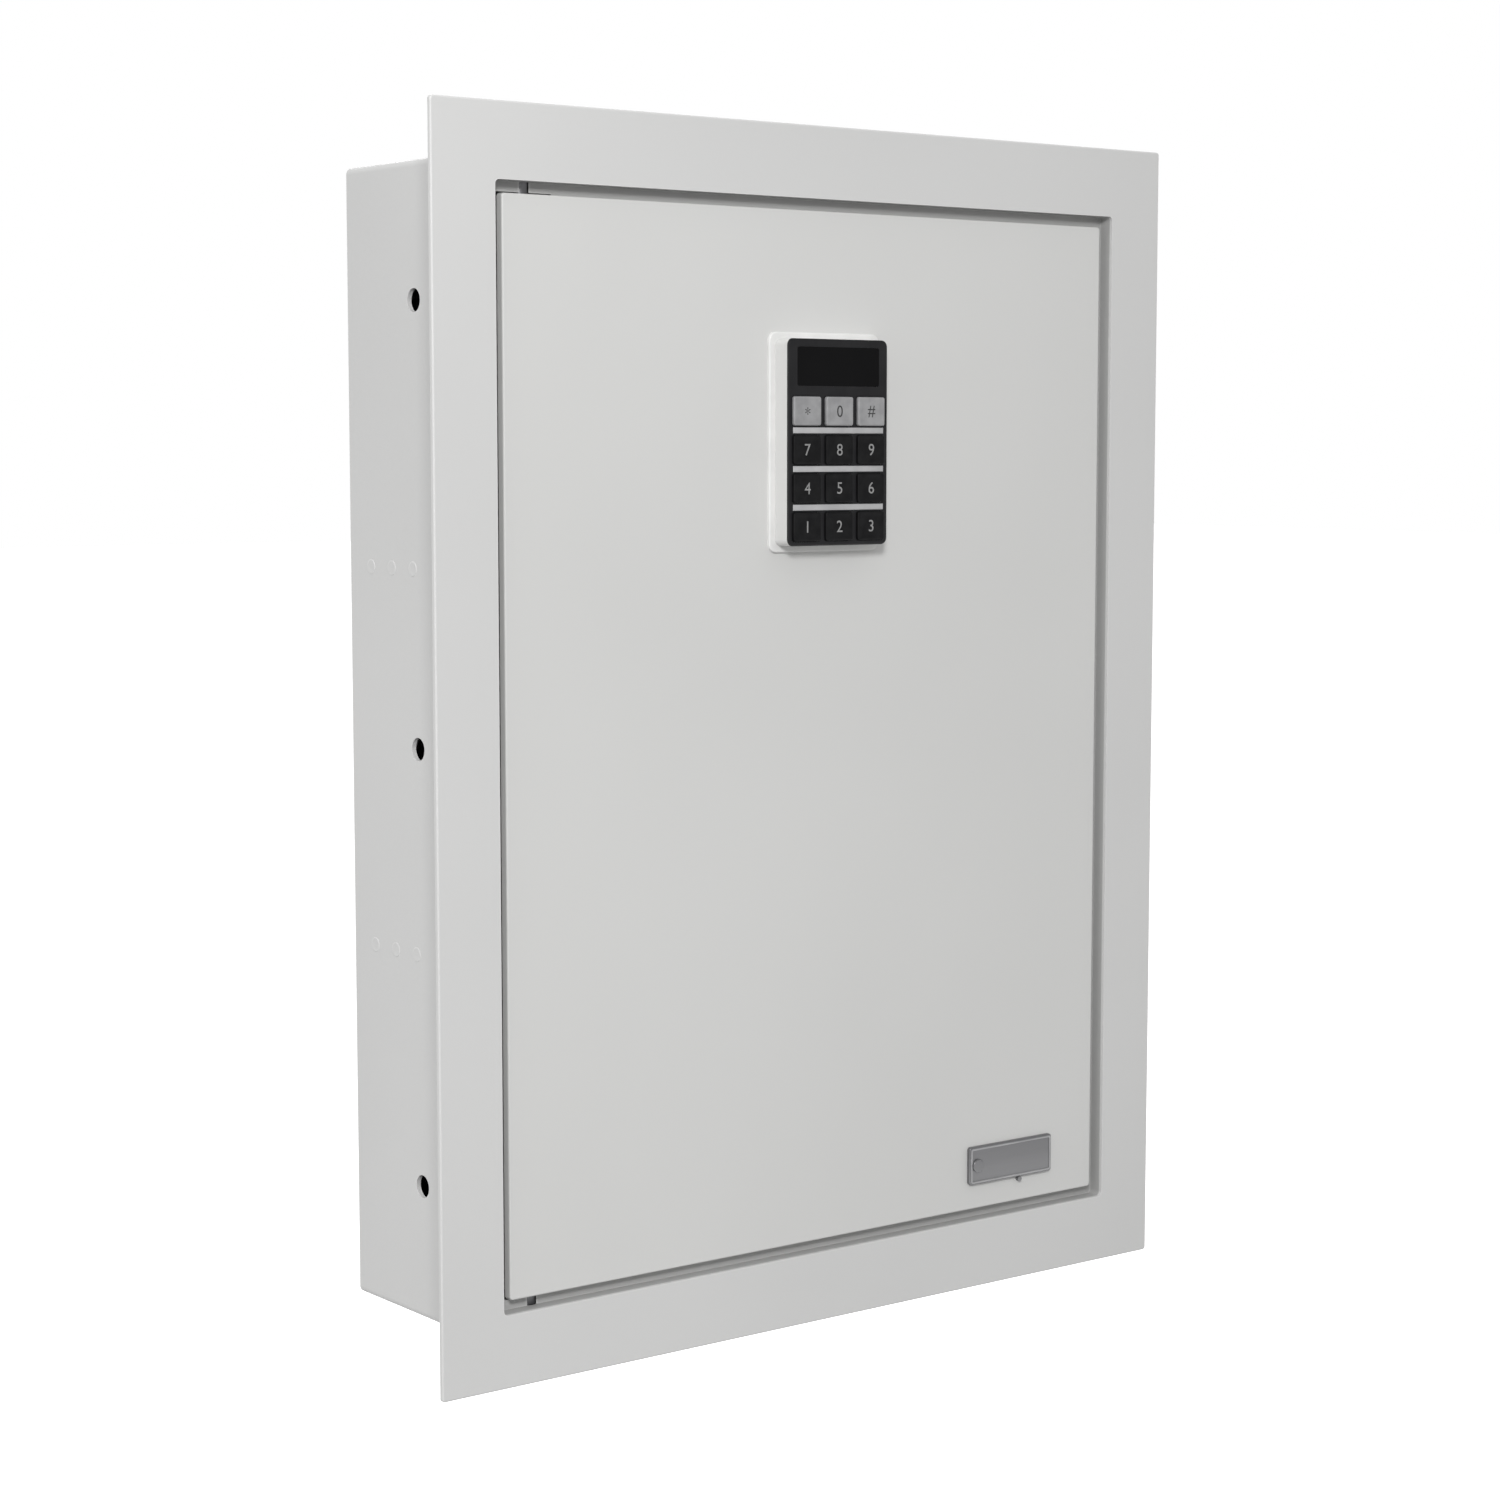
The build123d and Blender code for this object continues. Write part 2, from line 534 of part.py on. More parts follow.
def guide_screw(z):
    """A shouldered screw that the bar's ear slides on."""
    screw = rod(5.5, GUIDE_SCREW_X, (DOOR_BACK, BAR_Y[0] - 0.2), z)
    screw += rod(SCREW_R, GUIDE_SCREW_X, (DOOR_BACK, BAR_Y[1] + 0.3), z)
    head = (BAR_Y[1] + 0.2, BAR_Y[1] + 2.8)
    screw += rod(5.5, GUIDE_SCREW_X, head, z)
    slot_x = (GUIDE_SCREW_X - 4, GUIDE_SCREW_X + 4)
    return screw - block(slot_x, (head[1] - 1, head[1] + 1), (z - 0.6, z + 0.6))


def drive_pinion():
    """An involute spur gear on the gearbox's output shaft, in mesh with the rack."""
    base, tip, root = PITCH_R * cos(PRESSURE), PITCH_R + 0.95 * MODULE, PITCH_R - 1.2 * MODULE
    half = pi / (2 * TEETH) - BACKLASH / (2 * PITCH_R)

    def flank(radius, side):
        angle = acos(min(1.0, base / radius))
        turn = side * (half + tan(PRESSURE) - PRESSURE - tan(angle) + angle)
        return (radius * cos(turn), radius * sin(turn))

    steps = [base + (tip - base) * k / 3 for k in range(4)]
    low, high = Spline(*[flank(r, -1) for r in steps]), Spline(*[flank(r, 1) for r in steps])
    inner = [(root * 0.9, flank(base, side)[1]) for side in (-1, 1)]
    foot = Polyline(flank(base, -1), inner[0], inner[1], flank(base, 1))
    tooth = make_face([low, Line(flank(tip, -1), flank(tip, 1)), high, foot])
    wheel = Circle(root) + [Rot(0, 0, 360 * k / TEETH) * tooth for k in range(TEETH)]
    face = (BOLT_Y - BAR_THICK / 2 - 1, BOLT_Y + BAR_THICK / 2 + 1)
    gear = extrude(Plane.XZ.offset(-face[1]) * Pos(DRIVE_X, DRIVE_Z) * wheel, face[1] - face[0])
    return gear + rod(2.0, DRIVE_X, (DOOR_BACK + 3.0, face[1] + 2.0), DRIVE_Z)


def gearbox():
    """The flat reduction box under the pinion, with its output boss."""
    x, z = (DRIVE_X - 12.0, DRIVE_X + 12.0), (DRIVE_Z - 12.0, DRIVE_Z + 17.0)
    deep = DOOR_BACK + 7.0
    case = block(x, (DOOR_BACK, deep), z) + rod(4.0, DRIVE_X, (deep, deep + 1.6), DRIVE_Z)
    return case - rod(2.0 + PIN_RUN, DRIVE_X, (DOOR_BACK + 2.0, deep + 3.0), DRIVE_Z)


def drive_motor():
    """The small motor can that stands against the lower edge of the gearbox."""
    y = DOOR_BACK + 6.1
    top = DRIVE_Z - 12.0
    can = rod(6.0, DRIVE_X, y, (top - 21.0, top))
    return can + rod(1.4, DRIVE_X, y, (top - 22.5, top - 21.0))


def control_box():
    """A plastic box for the control board, with holes for its three leads."""
    z = (CONTROL_TOP - CONTROL_TALL, CONTROL_TOP)
    half, back = CONTROL_WIDTH / 2, DOOR_BACK + CONTROL_DEEP
    wall = CONTROL_WALL
    box = block((-half, half), (DOOR_BACK, back), z)
    inside = (z[0] + wall, z[1] - wall)
    box -= block((wall - half, half - wall), (DOOR_BACK + wall, back - wall), inside)
    box -= rod(KEYPAD_LEAD_R + 0.3, 0.0, LEAD_Y, (z[1] - wall - 1, z[1] + 1))
    box -= rod(POWER_LEAD_R + 0.3, BATTERY_LEAD_X, LEAD_Y, (z[0] - 1, z[0] + wall + 1))
    return box - rod(POWER_LEAD_R + 0.3, (half - wall - 1, half + 1), LEAD_Y, MOTOR_LEAD_Z)


def control_board():
    """The circuit board in the control box, with its plug, relay and main chip."""
    y = DOOR_BACK + 5.0
    half, top = CONTROL_WIDTH / 2 - 5.0, CONTROL_TOP - 7.0
    low = CONTROL_TOP - CONTROL_TALL + 7.0
    board = block((-half, half), (y - 1.6, y), (low, top))
    for x in (3.0 - half, half - 3.0):
        for z in (low + 3.0, top - 3.0):
            board += rod(2.0, x, (DOOR_BACK + CONTROL_WALL, y - 1.6), z)
    board += block((-7.0, 7.0), (y, LEAD_Y + 3.0), (top - 8.0, top - 1.0))
    board += block((12.0, 30.0), (y, y + 9.0), (top - 38.0, top - 22.0))
    return board + block((-26.0, -8.0), (y, y + 2.0), (top - 40.0, top - 32.0))


def wiring():
    """The three leads that are held inside the door: keypad, battery and motor."""
    y = LEAD_Y
    board_top, board_low = CONTROL_TOP - 8.0, CONTROL_TOP - CONTROL_TALL + 7.0
    keypad = [(0, BOARD[1], PAD_Z), (0, y, PAD_Z), (0, y, board_top)]
    holder_top = BATTERY_Z + TRAY_TALL + HOLDER_WALL
    side, bend = BATTERY_LEAD_X - 10.0, CONTROL_TOP - CONTROL_TALL - 10.0
    battery = [(side, y, holder_top), (side, y, bend - 14), (side + 10, y, bend), (side + 10, y, board_low)]
    side, low = DRIVE_X - 22.0, DRIVE_Z - 33.0
    from_board = (CONTROL_WIDTH / 2 - 7.0, y, MOTOR_LEAD_Z)
    drop = low - 14.0
    motor = [from_board, (side, y, MOTOR_LEAD_Z), (side, y, drop), (DRIVE_X, y, drop), (DRIVE_X, y, low)]
    runs = [(keypad, KEYPAD_LEAD_R), (battery, POWER_LEAD_R), (motor, POWER_LEAD_R)]
    return [lead(points, LEAD_BEND, radius) for points, radius in runs]


def lead_grommet():
    """The rubber ring that guards the keypad lead in the door plate."""
    ring = rod(5.9, 0.0, (DOOR_FRONT + 0.1, DOOR_BACK), PAD_Z)
    ring += rod(7.5, 0.0, (DOOR_BACK, DOOR_BACK + 1.5), PAD_Z)
    return ring - rod(KEYPAD_LEAD_R + 0.2, 0.0, (DOOR_FRONT - 1, DOOR_BACK + 3), PAD_Z)


# ---- Keypad ----


def key_spots():
    """Each key's name and centre, from the bottom row up and from the left."""
    spots = {}
    for index, name in enumerate(KEY_NAMES[3:] + KEY_NAMES[:3]):
        row, column = divmod(index, 3)
        spots[name] = (KEY_PITCH_X * (column - 1), KEY_BOTTOM_Z + KEY_PITCH_Z * row)
    return spots


def keypad_base():
    """The pale plate under the keypad, with the screw bosses on its front."""
    size = (PAD_WIDTH + 2 * BASE_RIM, PAD_HEIGHT + 2 * BASE_RIM)
    base = slab(*size, (BASE_FRONT, DOOR_FRONT), PAD_CORNER + 1, 0.0, PAD_Z)
    base = round_front(base, EDGE_ROUND)
    base -= rod(6.0, 0.0, (BASE_FRONT - 1, DOOR_FRONT + 1), PAD_Z)
    for x, z in pad_spots():
        base += rod(3.0, x, (BOARD[1] + 0.2, BASE_FRONT), z)
    for x, z in pad_spots():
        base -= rod(1.5, x, (BOARD[1] + 0.6, DOOR_FRONT + 1), z)
    return base


def keypad_housing():
    """The black shell, with a window for the display and a hole for each key."""
    y = (PAD_FRONT, BASE_FRONT)
    shell = round_front(slab(PAD_WIDTH, PAD_HEIGHT, y, PAD_CORNER, 0.0, PAD_Z), EDGE_ROUND)
    inside = (PAD_WIDTH - 2 * PAD_WALL, PAD_HEIGHT - 2 * PAD_WALL)
    back = (PAD_FRONT + PAD_WALL, BASE_FRONT + 1)
    shell -= slab(*inside, back, PAD_CORNER - PAD_WALL, 0.0, PAD_Z)
    front = (PAD_FRONT - 1, PAD_FRONT + PAD_WALL + 1)
    shell -= slab(WINDOW_WIDTH, WINDOW_HEIGHT, front, 1.0, 0.0, WINDOW_Z)
    for x, z in key_spots().values():
        shell -= slab(KEY_WIDTH + 2 * KEY_GAP, KEY_HEIGHT + 2 * KEY_GAP, front, 1.2, x, z)
    return shell


def key(x, z):
    """One key: a crowned cap and the wider flange that keeps it in the shell."""
    cap = slab(KEY_WIDTH, KEY_HEIGHT, (PAD_FRONT - 1.2, KEY_FLANGE[0]), 1.0, x, z)
    cap = round_front(cap, EDGE_ROUND)
    rim = KEY_GAP + KEY_RIM
    return cap + slab(KEY_WIDTH + 2 * rim, KEY_HEIGHT + 2 * rim, KEY_FLANGE, 1.2, x, z)


def key_mat():
    """The rubber sheet under the keys, with one dome for each."""
    low, high = KEY_BOTTOM_Z - KEY_HEIGHT / 2, KEY_BOTTOM_Z + 3 * KEY_PITCH_Z + KEY_HEIGHT / 2
    half = PAD_WIDTH / 2 - PAD_WALL - 0.8
    mat = block((-half, half), (MAT_FRONT, BOARD[0]), (low, high))
    for x, z in key_spots().values():
        mat += rod(3.0, x, (MAT_FRONT - 0.8, MAT_FRONT), z)
    return mat


def keypad_board():
    half = PAD_WIDTH / 2 - PAD_WALL - 0.4
    tall = PAD_HEIGHT / 2 - PAD_WALL - 0.4
    return slab(2 * half, 2 * tall, BOARD, PAD_CORNER - PAD_WALL, 0.0, PAD_Z)


def display_window():
    y = (PAD_FRONT + 0.1, PAD_FRONT + PAD_WALL)
    return slab(WINDOW_WIDTH - 0.2, WINDOW_HEIGHT - 0.2, y, 0.9, 0.0, WINDOW_Z)


def display_module():
    half = WINDOW_WIDTH / 2
    y = (PAD_FRONT + PAD_WALL + 0.3, BOARD[0])
    tall = WINDOW_HEIGHT / 2
    return block((-half, half), y, (WINDOW_Z - tall, WINDOW_Z + tall))


# ---- Override lock and badge ----


def lock_barrel():
    barrel = rod(BARREL_R + 1.5, LOCK_X, (DOOR_FRONT, DOOR_FRONT + 1.5), BADGE_Z)
    barrel += rod(BARREL_R, LOCK_X, (DOOR_FRONT, BARREL_BACK), BADGE_Z)
    return barrel - rod(PLUG_R + PIN_RUN, LOCK_X, (DOOR_FRONT - 1, BARREL_BACK + 1), BADGE_Z)


def lock_nut():
    hexagon = Plane.XZ.offset(-DOOR_BACK - 4.0) * Pos(LOCK_X, BADGE_Z) * RegularPolygon(NUT_R, 6)
    return extrude(hexagon, 4.0) - rod(BARREL_R + PIN_PRESS, LOCK_X, (DOOR_BACK - 1, DOOR_BACK + 5), BADGE_Z)


def lock_plug():
    """The turning core, with its key slot in front and a square tail for the cam."""
    plug = rod(PLUG_R, LOCK_X, (DOOR_FRONT + 0.1, BARREL_BACK), BADGE_Z)
    plug += block((LOCK_X - 2, LOCK_X + 2), (BARREL_BACK, BARREL_BACK + 4.0), (BADGE_Z - 2, BADGE_Z + 2))
    slot = (DOOR_FRONT - 1, DOOR_FRONT + 14.0)
    return plug - block((LOCK_X - 0.7, LOCK_X + 0.7), slot, (BADGE_Z - 3.2, BADGE_Z + 3.2))


def lock_cam():
    """The lever on the plug's tail. It turns up towards the foot of the bolt bar."""
    y = (BARREL_BACK + 0.3, BARREL_BACK + 2.3)
    lever = rod(6.0, LOCK_X, y, BADGE_Z)
    lever += block((LOCK_X - CAM_LONG + 4.0, LOCK_X), y, (BADGE_Z - 4, BADGE_Z + 4))
    lever += rod(4.0, LOCK_X - CAM_LONG + 4.0, y, BADGE_Z)
    gap = 2.02
    return lever - block((LOCK_X - gap, LOCK_X + gap), (y[0] - 1, y[1] + 1), (BADGE_Z - gap, BADGE_Z + gap))


def badge():
    """The blank plate over the keyhole, which swings up on its rivet."""
    plate = round_front(slab(BADGE_WIDTH, BADGE_HEIGHT, BADGE_Y, 1.5, BADGE_X, BADGE_Z), 0.5)
    return plate - rod(2.0 + PIN_RUN, RIVET_X, (BADGE_Y[0] - 1, DOOR_FRONT), BADGE_Z)


def badge_rivet():
    """The rivet that the badge swings on."""
    head = (BADGE_Y[0] - 0.95, BADGE_Y[0] - 0.05)
    rivet = round_front(rod(3.2, RIVET_X, head, BADGE_Z), 0.5)
    rivet += rod(2.0, RIVET_X, (head[1], DOOR_BACK), BADGE_Z)
    return rivet + rod(3.2, RIVET_X, (DOOR_BACK, DOOR_BACK + 1.5), BADGE_Z)


def badge_stop():
    """The small pin under the badge that it rests on when it is shut."""
    return round_front(rod(STOP_PIN_R, LOCK_X, (BADGE_Y[0], DOOR_BACK), STOP_PIN_Z), 0.3)


# ---- Power and programming ----


def battery_holder():
    """An open tray for the cells, on two feet from the door plate."""
    y = (CELL_Y - CELL_R - 2.0, COVER_INNER - 0.2)
    half, tall = TRAY_HALF + HOLDER_WALL, TRAY_TALL + HOLDER_WALL
    tray = block((-half, half), y, (BATTERY_Z - tall, BATTERY_Z + tall))
    inside = (y[0] + 1.5, y[1] + 1)
    tray -= block((-TRAY_HALF, TRAY_HALF), inside, (BATTERY_Z - TRAY_TALL, BATTERY_Z + TRAY_TALL))
    for x in (-half + 6.0, half - 6.0):
        tray += block((x - 4, x + 4), (DOOR_BACK, y[0]), (BATTERY_Z - 20, BATTERY_Z + 20))
    return tray


def cell_columns():
    """Each cell's place across the tray, and which way its nub points."""
    return [((k - (CELLS - 1) / 2) * CELL_PITCH, 1 if k % 2 else -1) for k in range(CELLS)]


def battery(x, way):
    half = CELL_LONG / 2
    cell = rod(CELL_R, x, CELL_Y, (BATTERY_Z - half, BATTERY_Z + half))
    end = sorted((BATTERY_Z + way * half, BATTERY_Z + way * (half + 1.1)))
    return cell + rod(2.75, x, CELL_Y, tuple(end))


def battery_contact(x, end, reach):
    """A contact plate on the tray's end wall, with the button that meets the cell."""
    wall = BATTERY_Z + end * TRAY_TALL
    plate = sorted((wall, wall - end * 0.4))
    button = sorted((wall, wall - end * reach))
    return block((x - 5, x + 5), (CELL_Y - 5, CELL_Y + 5), plate) + rod(2.5, x, CELL_Y, tuple(button))


def battery_contacts():
    gap = TRAY_TALL - CELL_LONG / 2
    found = []
    for x, way in cell_columns():
        found += [battery_contact(x, way, gap - 1.1), battery_contact(x, -way, gap)]
    return found


def battery_cover():
    """The sliding lid of the battery tray, with grip ribs at its top."""
    half, tall = TRAY_HALF + 5.0, TRAY_TALL + 3.0
    y = (COVER_BACK + 0.3, COVER_BACK + 2.3)
    lid = block((-half, half), y, (BATTERY_Z - tall, BATTERY_Z + tall))
    for k in range(5):
        z = BATTERY_Z + tall - 6.0 - 2.4 * k
        lid -= block((-12, 12), (y[1] - 0.6, y[1] + 1), (z, z + 1.2))
    return lid


def reset_button():
    """The small button, used with the door open, that starts a new code."""
    button = rod(3.0, RESET_X, (COVER_INNER - 0.4, COVER_BACK + 1.6), BATTERY_Z)
    button += rod(4.5, RESET_X, (COVER_INNER - 1.4, COVER_INNER - 0.4), BATTERY_Z)
    return button + rod(1.5, RESET_X, (COVER_INNER - 4.0, COVER_INNER - 1.4), BATTERY_Z)


def reset_switch():
    top = COVER_INNER - 4.0 - 1.7
    switch = block((RESET_X - 6, RESET_X + 6), (DOOR_BACK, top - 1.0), (BATTERY_Z - 6, BATTERY_Z + 6))
    return switch + rod(2.0, RESET_X, (top - 1.0, top), BATTERY_Z)


def main():
    os.makedirs("parts", exist_ok=True)
    save("wall_flange", wall_flange())
    save("body_wrap", body_wrap())
    save("back_panel", back_panel())
    save("door_frame", door_frame())
    save("strike_plate", strike_plate())
    save("pivot_brackets", *both(pivot_bracket()))
    save("pivot_bushes", *both(pivot_bush()))
    save("shelves", shelf(SHELF_Z), shelf(-SHELF_Z))
    save("shelf_rails", *[shelf_rail(side, z) for side in (-1, 1) for z in (-SHELF_Z, SHELF_Z)])
    save("floor_mat", floor_mat())
    save("door_bumpers", *door_bumpers())

    save("door_panel", door_panel())
    save("inner_cover", inner_cover())
    save("cover_standoffs", *[standoff(x, z) for x, z in cover_spots()])
    head, tip = (COVER_BACK, COVER_BACK + 2.0), COVER_INNER - 8.0
    save("cover_screws", *[cross_screw(x, z, head, tip, 3.5, 1.55) for x, z in cover_spots()])
    save("hinge_lugs", *both(hinge_lug()))
    save("hinge_pins", *both(hinge_pin()))
    save("hinge_springs", *both(hinge_spring()))
    save("bolt_guide", bolt_guide())
    save("guide_screws", guide_screw(-SCREW_Z), guide_screw(SCREW_Z))
    save("gearbox", gearbox())
    save("drive_motor", drive_motor())
    save("control_box", control_box())
    save("control_board", control_board())
    save("wiring", *wiring())
    save("lead_grommet", lead_grommet())
    save("bolt_bar", bolt_bar())
    save("live_bolts", *[live_bolt(z) for z in (-BOLT_PITCH, 0.0, BOLT_PITCH)])
    save("drive_pinion", drive_pinion())

    save("keypad_base", keypad_base())
    save("keypad_housing", keypad_housing())
    save("keypad_board", keypad_board())
    save("key_mat", key_mat())
    save("display_window", display_window())
    save("display_module", display_module())
    head, tip = (DOOR_BACK, DOOR_BACK + 2.0), BOARD[1] + 0.8
    save("keypad_screws", *[cross_screw(x, z, head, tip, 3.0, 1.48) for x, z in pad_spots()])
    for name, (x, z) in key_spots().items():
        save(f"key_{name}", key(x, z))

    save("lock_barrel", lock_barrel())
    save("lock_nut", lock_nut())
    save("lock_plug", lock_plug())
    save("lock_cam", lock_cam())
    save("badge", badge())
    save("badge_rivet", badge_rivet(), badge_stop())
    save("battery_holder", battery_holder())
    save("batteries", *[battery(x, way) for x, way in cell_columns()])
    save("battery_contacts", *battery_contacts())
    save("battery_cover", battery_cover())
    save("reset_button", reset_button())
    save("reset_switch", reset_switch())


main()
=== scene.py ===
from math import pi, radians

import bpy
from mathutils import Matrix, Vector


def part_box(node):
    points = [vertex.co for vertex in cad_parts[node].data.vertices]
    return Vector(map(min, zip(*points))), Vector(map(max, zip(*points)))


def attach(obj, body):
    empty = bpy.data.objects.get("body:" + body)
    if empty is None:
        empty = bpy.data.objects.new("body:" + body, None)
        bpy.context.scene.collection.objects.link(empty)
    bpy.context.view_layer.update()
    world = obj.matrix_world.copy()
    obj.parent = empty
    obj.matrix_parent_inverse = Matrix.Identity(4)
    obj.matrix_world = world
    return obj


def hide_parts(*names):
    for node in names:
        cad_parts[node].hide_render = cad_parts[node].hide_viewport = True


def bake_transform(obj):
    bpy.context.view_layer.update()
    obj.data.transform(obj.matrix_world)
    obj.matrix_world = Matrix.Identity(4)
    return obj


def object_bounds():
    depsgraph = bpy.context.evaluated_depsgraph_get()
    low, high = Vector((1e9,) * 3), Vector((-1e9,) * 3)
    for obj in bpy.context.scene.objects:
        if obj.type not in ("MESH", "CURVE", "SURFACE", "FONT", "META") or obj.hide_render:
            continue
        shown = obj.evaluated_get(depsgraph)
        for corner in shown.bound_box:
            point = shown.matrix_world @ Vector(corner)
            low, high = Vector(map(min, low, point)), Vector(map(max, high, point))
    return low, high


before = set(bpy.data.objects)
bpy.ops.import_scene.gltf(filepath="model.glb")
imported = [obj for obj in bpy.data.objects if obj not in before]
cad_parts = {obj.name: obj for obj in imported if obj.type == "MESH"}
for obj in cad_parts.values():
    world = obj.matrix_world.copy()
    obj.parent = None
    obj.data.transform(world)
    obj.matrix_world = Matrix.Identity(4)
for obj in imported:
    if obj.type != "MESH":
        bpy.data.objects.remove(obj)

cad_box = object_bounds()

# ---- The painted sheet metal ----
# The folded cabinet, its wall flange, frame, shelves and rails, and the door with its tray. Mild steel
# that is welded and then coated with light grey powder, which is baked on. The jamb's darker grey is painted
# shade for the deep gap.
# The coat has a faint orange peel, and it is thinner and paler over the edges.


def add_node(finish, kind, inputs, **settings):
    """Adds a node to a finish. An input is a plain value or another node's output."""
    node = finish.node_tree.nodes.new(kind)
    for name, value in settings.items():
        setattr(node, name, value)
    for name, value in inputs.items():
        if isinstance(value, bpy.types.NodeSocket):
            finish.node_tree.links.new(value, node.inputs[name])
        else:
            node.inputs[name].default_value = value
    return node


def feed(finish, socket, value):
    """Leads a node's output into the finish's shader."""
    shader = finish.node_tree.nodes["Principled BSDF"]
    finish.node_tree.links.new(value, shader.inputs[socket])


def own_place(finish, stretch=(1.0, 1.0, 1.0)):
    """Where a point lies in its piece, drawn out along the sides where stretch is small."""
    place = add_node(finish, "ShaderNodeTexCoord", {}).outputs["Object"]
    return add_node(finish, "ShaderNodeMapping", {"Vector": place, "Scale": stretch}).outputs["Vector"]


def cloud(finish, place, per_metre, detail=2.0):
    """Soft noise with that many patches in a metre."""
    inputs = {"Vector": place, "Scale": per_metre, "Detail": detail}
    return add_node(finish, "ShaderNodeTexNoise", inputs).outputs["Fac"]


def spread(finish, value, low, high, start=0.35, end=0.65):
    """A value that runs from low to high while another runs from start to end."""
    inputs = {"Value": value, "From Min": start, "From Max": end, "To Min": low, "To Max": high}
    return add_node(finish, "ShaderNodeMapRange", inputs).outputs["Result"]


def mix_colours(finish, share, first, second):
    """The first colour where share is 0, and the second where it is 1."""
    mix = add_node(finish, "ShaderNodeMix", {0: share, 6: first, 7: second}, data_type="RGBA")
    return mix.outputs[2]


def raised(finish, height, depth, under=None):
    """A normal that makes height stand up by depth metres, on top of another normal."""
    inputs = {"Height": height, "Distance": depth}
    if under is not None:
        inputs["Normal"] = under
    return add_node(finish, "ShaderNodeBump", inputs).outputs["Normal"]


def new_finish(name, colours, patch, gloss, texture, depth, stretch=(1.0, 1.0, 1.0), **shader_values):
    """A finish whose colour and roughness drift between two values over a raised texture.

    patch and texture say how many patches and bumps a metre holds, and depth is in metres.
    """
    finish = bpy.data.materials.new(name)
    finish.use_nodes = True
    shader = finish.node_tree.nodes["Principled BSDF"]
    for socket, value in shader_values.items():
        shader.inputs[socket.replace("_", " ")].default_value = value
    place = own_place(finish, stretch)
    drift = spread(finish, cloud(finish, place, patch), 0.0, 1.0)
    first, second = [(*colour, 1.0) for colour in colours]
    feed(finish, "Base Color", mix_colours(finish, drift, first, second))
    feed(finish, "Roughness", spread(finish, cloud(finish, place, patch * 7), *gloss))
    feed(finish, "Normal", raised(finish, cloud(finish, place, texture, 3.0), depth))
    return finish


def coat(finish, *names):
    """Gives CAD nodes a finish."""
    for name in names:
        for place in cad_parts[name].material_slots:
            place.material = finish


def powder_coat(name, colour, pale):
    """Light grey powder with orange peel, and paler edges where it has flowed thin."""
    dark = tuple(share * 0.965 for share in colour)
    finish = new_finish(name, (dark, colour), 5.0, (0.47, 0.51), 2600.0, 0.00002)
    shader = finish.node_tree.nodes["Principled BSDF"]
    fine = shader.inputs["Normal"].links[0].from_socket
    peel = cloud(finish, own_place(finish), 420.0, 1.0)
    feed(finish, "Normal", raised(finish, peel, 0.00004, fine))
    even = shader.inputs["Base Color"].links[0].from_socket
    bent = add_node(finish, "ShaderNodeBevel", {"Radius": 0.0011}, samples=4).outputs["Normal"]
    flat = add_node(finish, "ShaderNodeNewGeometry", {}).outputs["Normal"]
    along = add_node(finish, "ShaderNodeVectorMath", {0: bent, 1: flat}, operation="DOT_PRODUCT")
    edge = spread(finish, along.outputs["Value"], 0.75, 0.0, 0.86, 0.99)
    feed(finish, "Base Color", mix_colours(finish, edge, even, (*pale, 1.0)))
    return finish


cabinet_paint = powder_coat("cabinet_paint", (0.60, 0.60, 0.595), (0.68, 0.68, 0.675))
coat(cabinet_paint, "wall_flange", "body_wrap", "back_panel", "shelves", "shelf_rails")
# The door frame's darker grey is painted shade: it darkens the gap round the door, which is dark only
# because it is deep.
jamb_painted_shade = powder_coat("jamb_painted_shade", (0.40, 0.40, 0.395), (0.52, 0.52, 0.515))
coat(jamb_painted_shade, "door_frame")
door_paint = powder_coat("door_paint", (0.61, 0.61, 0.60), (0.69, 0.69, 0.68))
coat(door_paint, "door_panel", "inner_cover")

# ---- The stitch welds of the back panel ----
# Short runs of weld in the inner corner between the walls and the back, painted over with the rest. Each
# run is a row of overlapping puddles that have flowed into one another.
PUDDLE = 0.0017
PUDDLE_STEP = 0.0021
PUDDLES = 9
UPRIGHT_RUNS = (-0.205, -0.125, -0.04, 0.04, 0.125, 0.205)
LYING_RUNS = (-0.12, 0.0, 0.12)
SUNK = PUDDLE * 0.35


def deselect():
    """Nothing is selected and no piece is open, so that the next tool acts on its own piece only."""
    if bpy.context.object and bpy.context.object.mode != "OBJECT":
        bpy.ops.object.mode_set(mode="OBJECT")
    bpy.ops.object.select_all(action="DESELECT")


def settle(piece, name, finish):
    """Names a finished piece, puts its place into its mesh, and gives it its finish."""
    deselect()
    piece.select_set(True)
    bpy.context.view_layer.objects.active = piece
    bpy.ops.object.transform_apply(location=True, rotation=True, scale=True)
    piece.name = name
    piece.data.name = name
    piece.data.materials.clear()
    piece.data.materials.append(finish)
    return piece


def apply_modifiers(piece):
    """Makes the shape that the modifiers give the piece's own mesh."""
    deselect()
    piece.select_set(True)
    bpy.context.view_layer.objects.active = piece
    for modifier in list(piece.modifiers):
        bpy.ops.object.modifier_apply(modifier=modifier.name)


def copies(piece, places):
    """One copy of a piece for each matrix in places, each with a mesh of its own. The first is removed."""
    made = []
    for place in places:
        copy = piece.copy()
        copy.data = piece.data.copy()
        copy.data.transform(place)
        if place.determinant() < 0:
            copy.data.flip_normals()
        bpy.context.scene.collection.objects.link(copy)
        made.append(copy)
    bpy.data.objects.remove(piece)
    return made


def join(pieces):
    """Several like pieces as one."""
    deselect()
    for piece in pieces:
        piece.select_set(True)
    bpy.context.view_layer.objects.active = pieces[0]
    bpy.ops.object.join()
    return pieces[0]


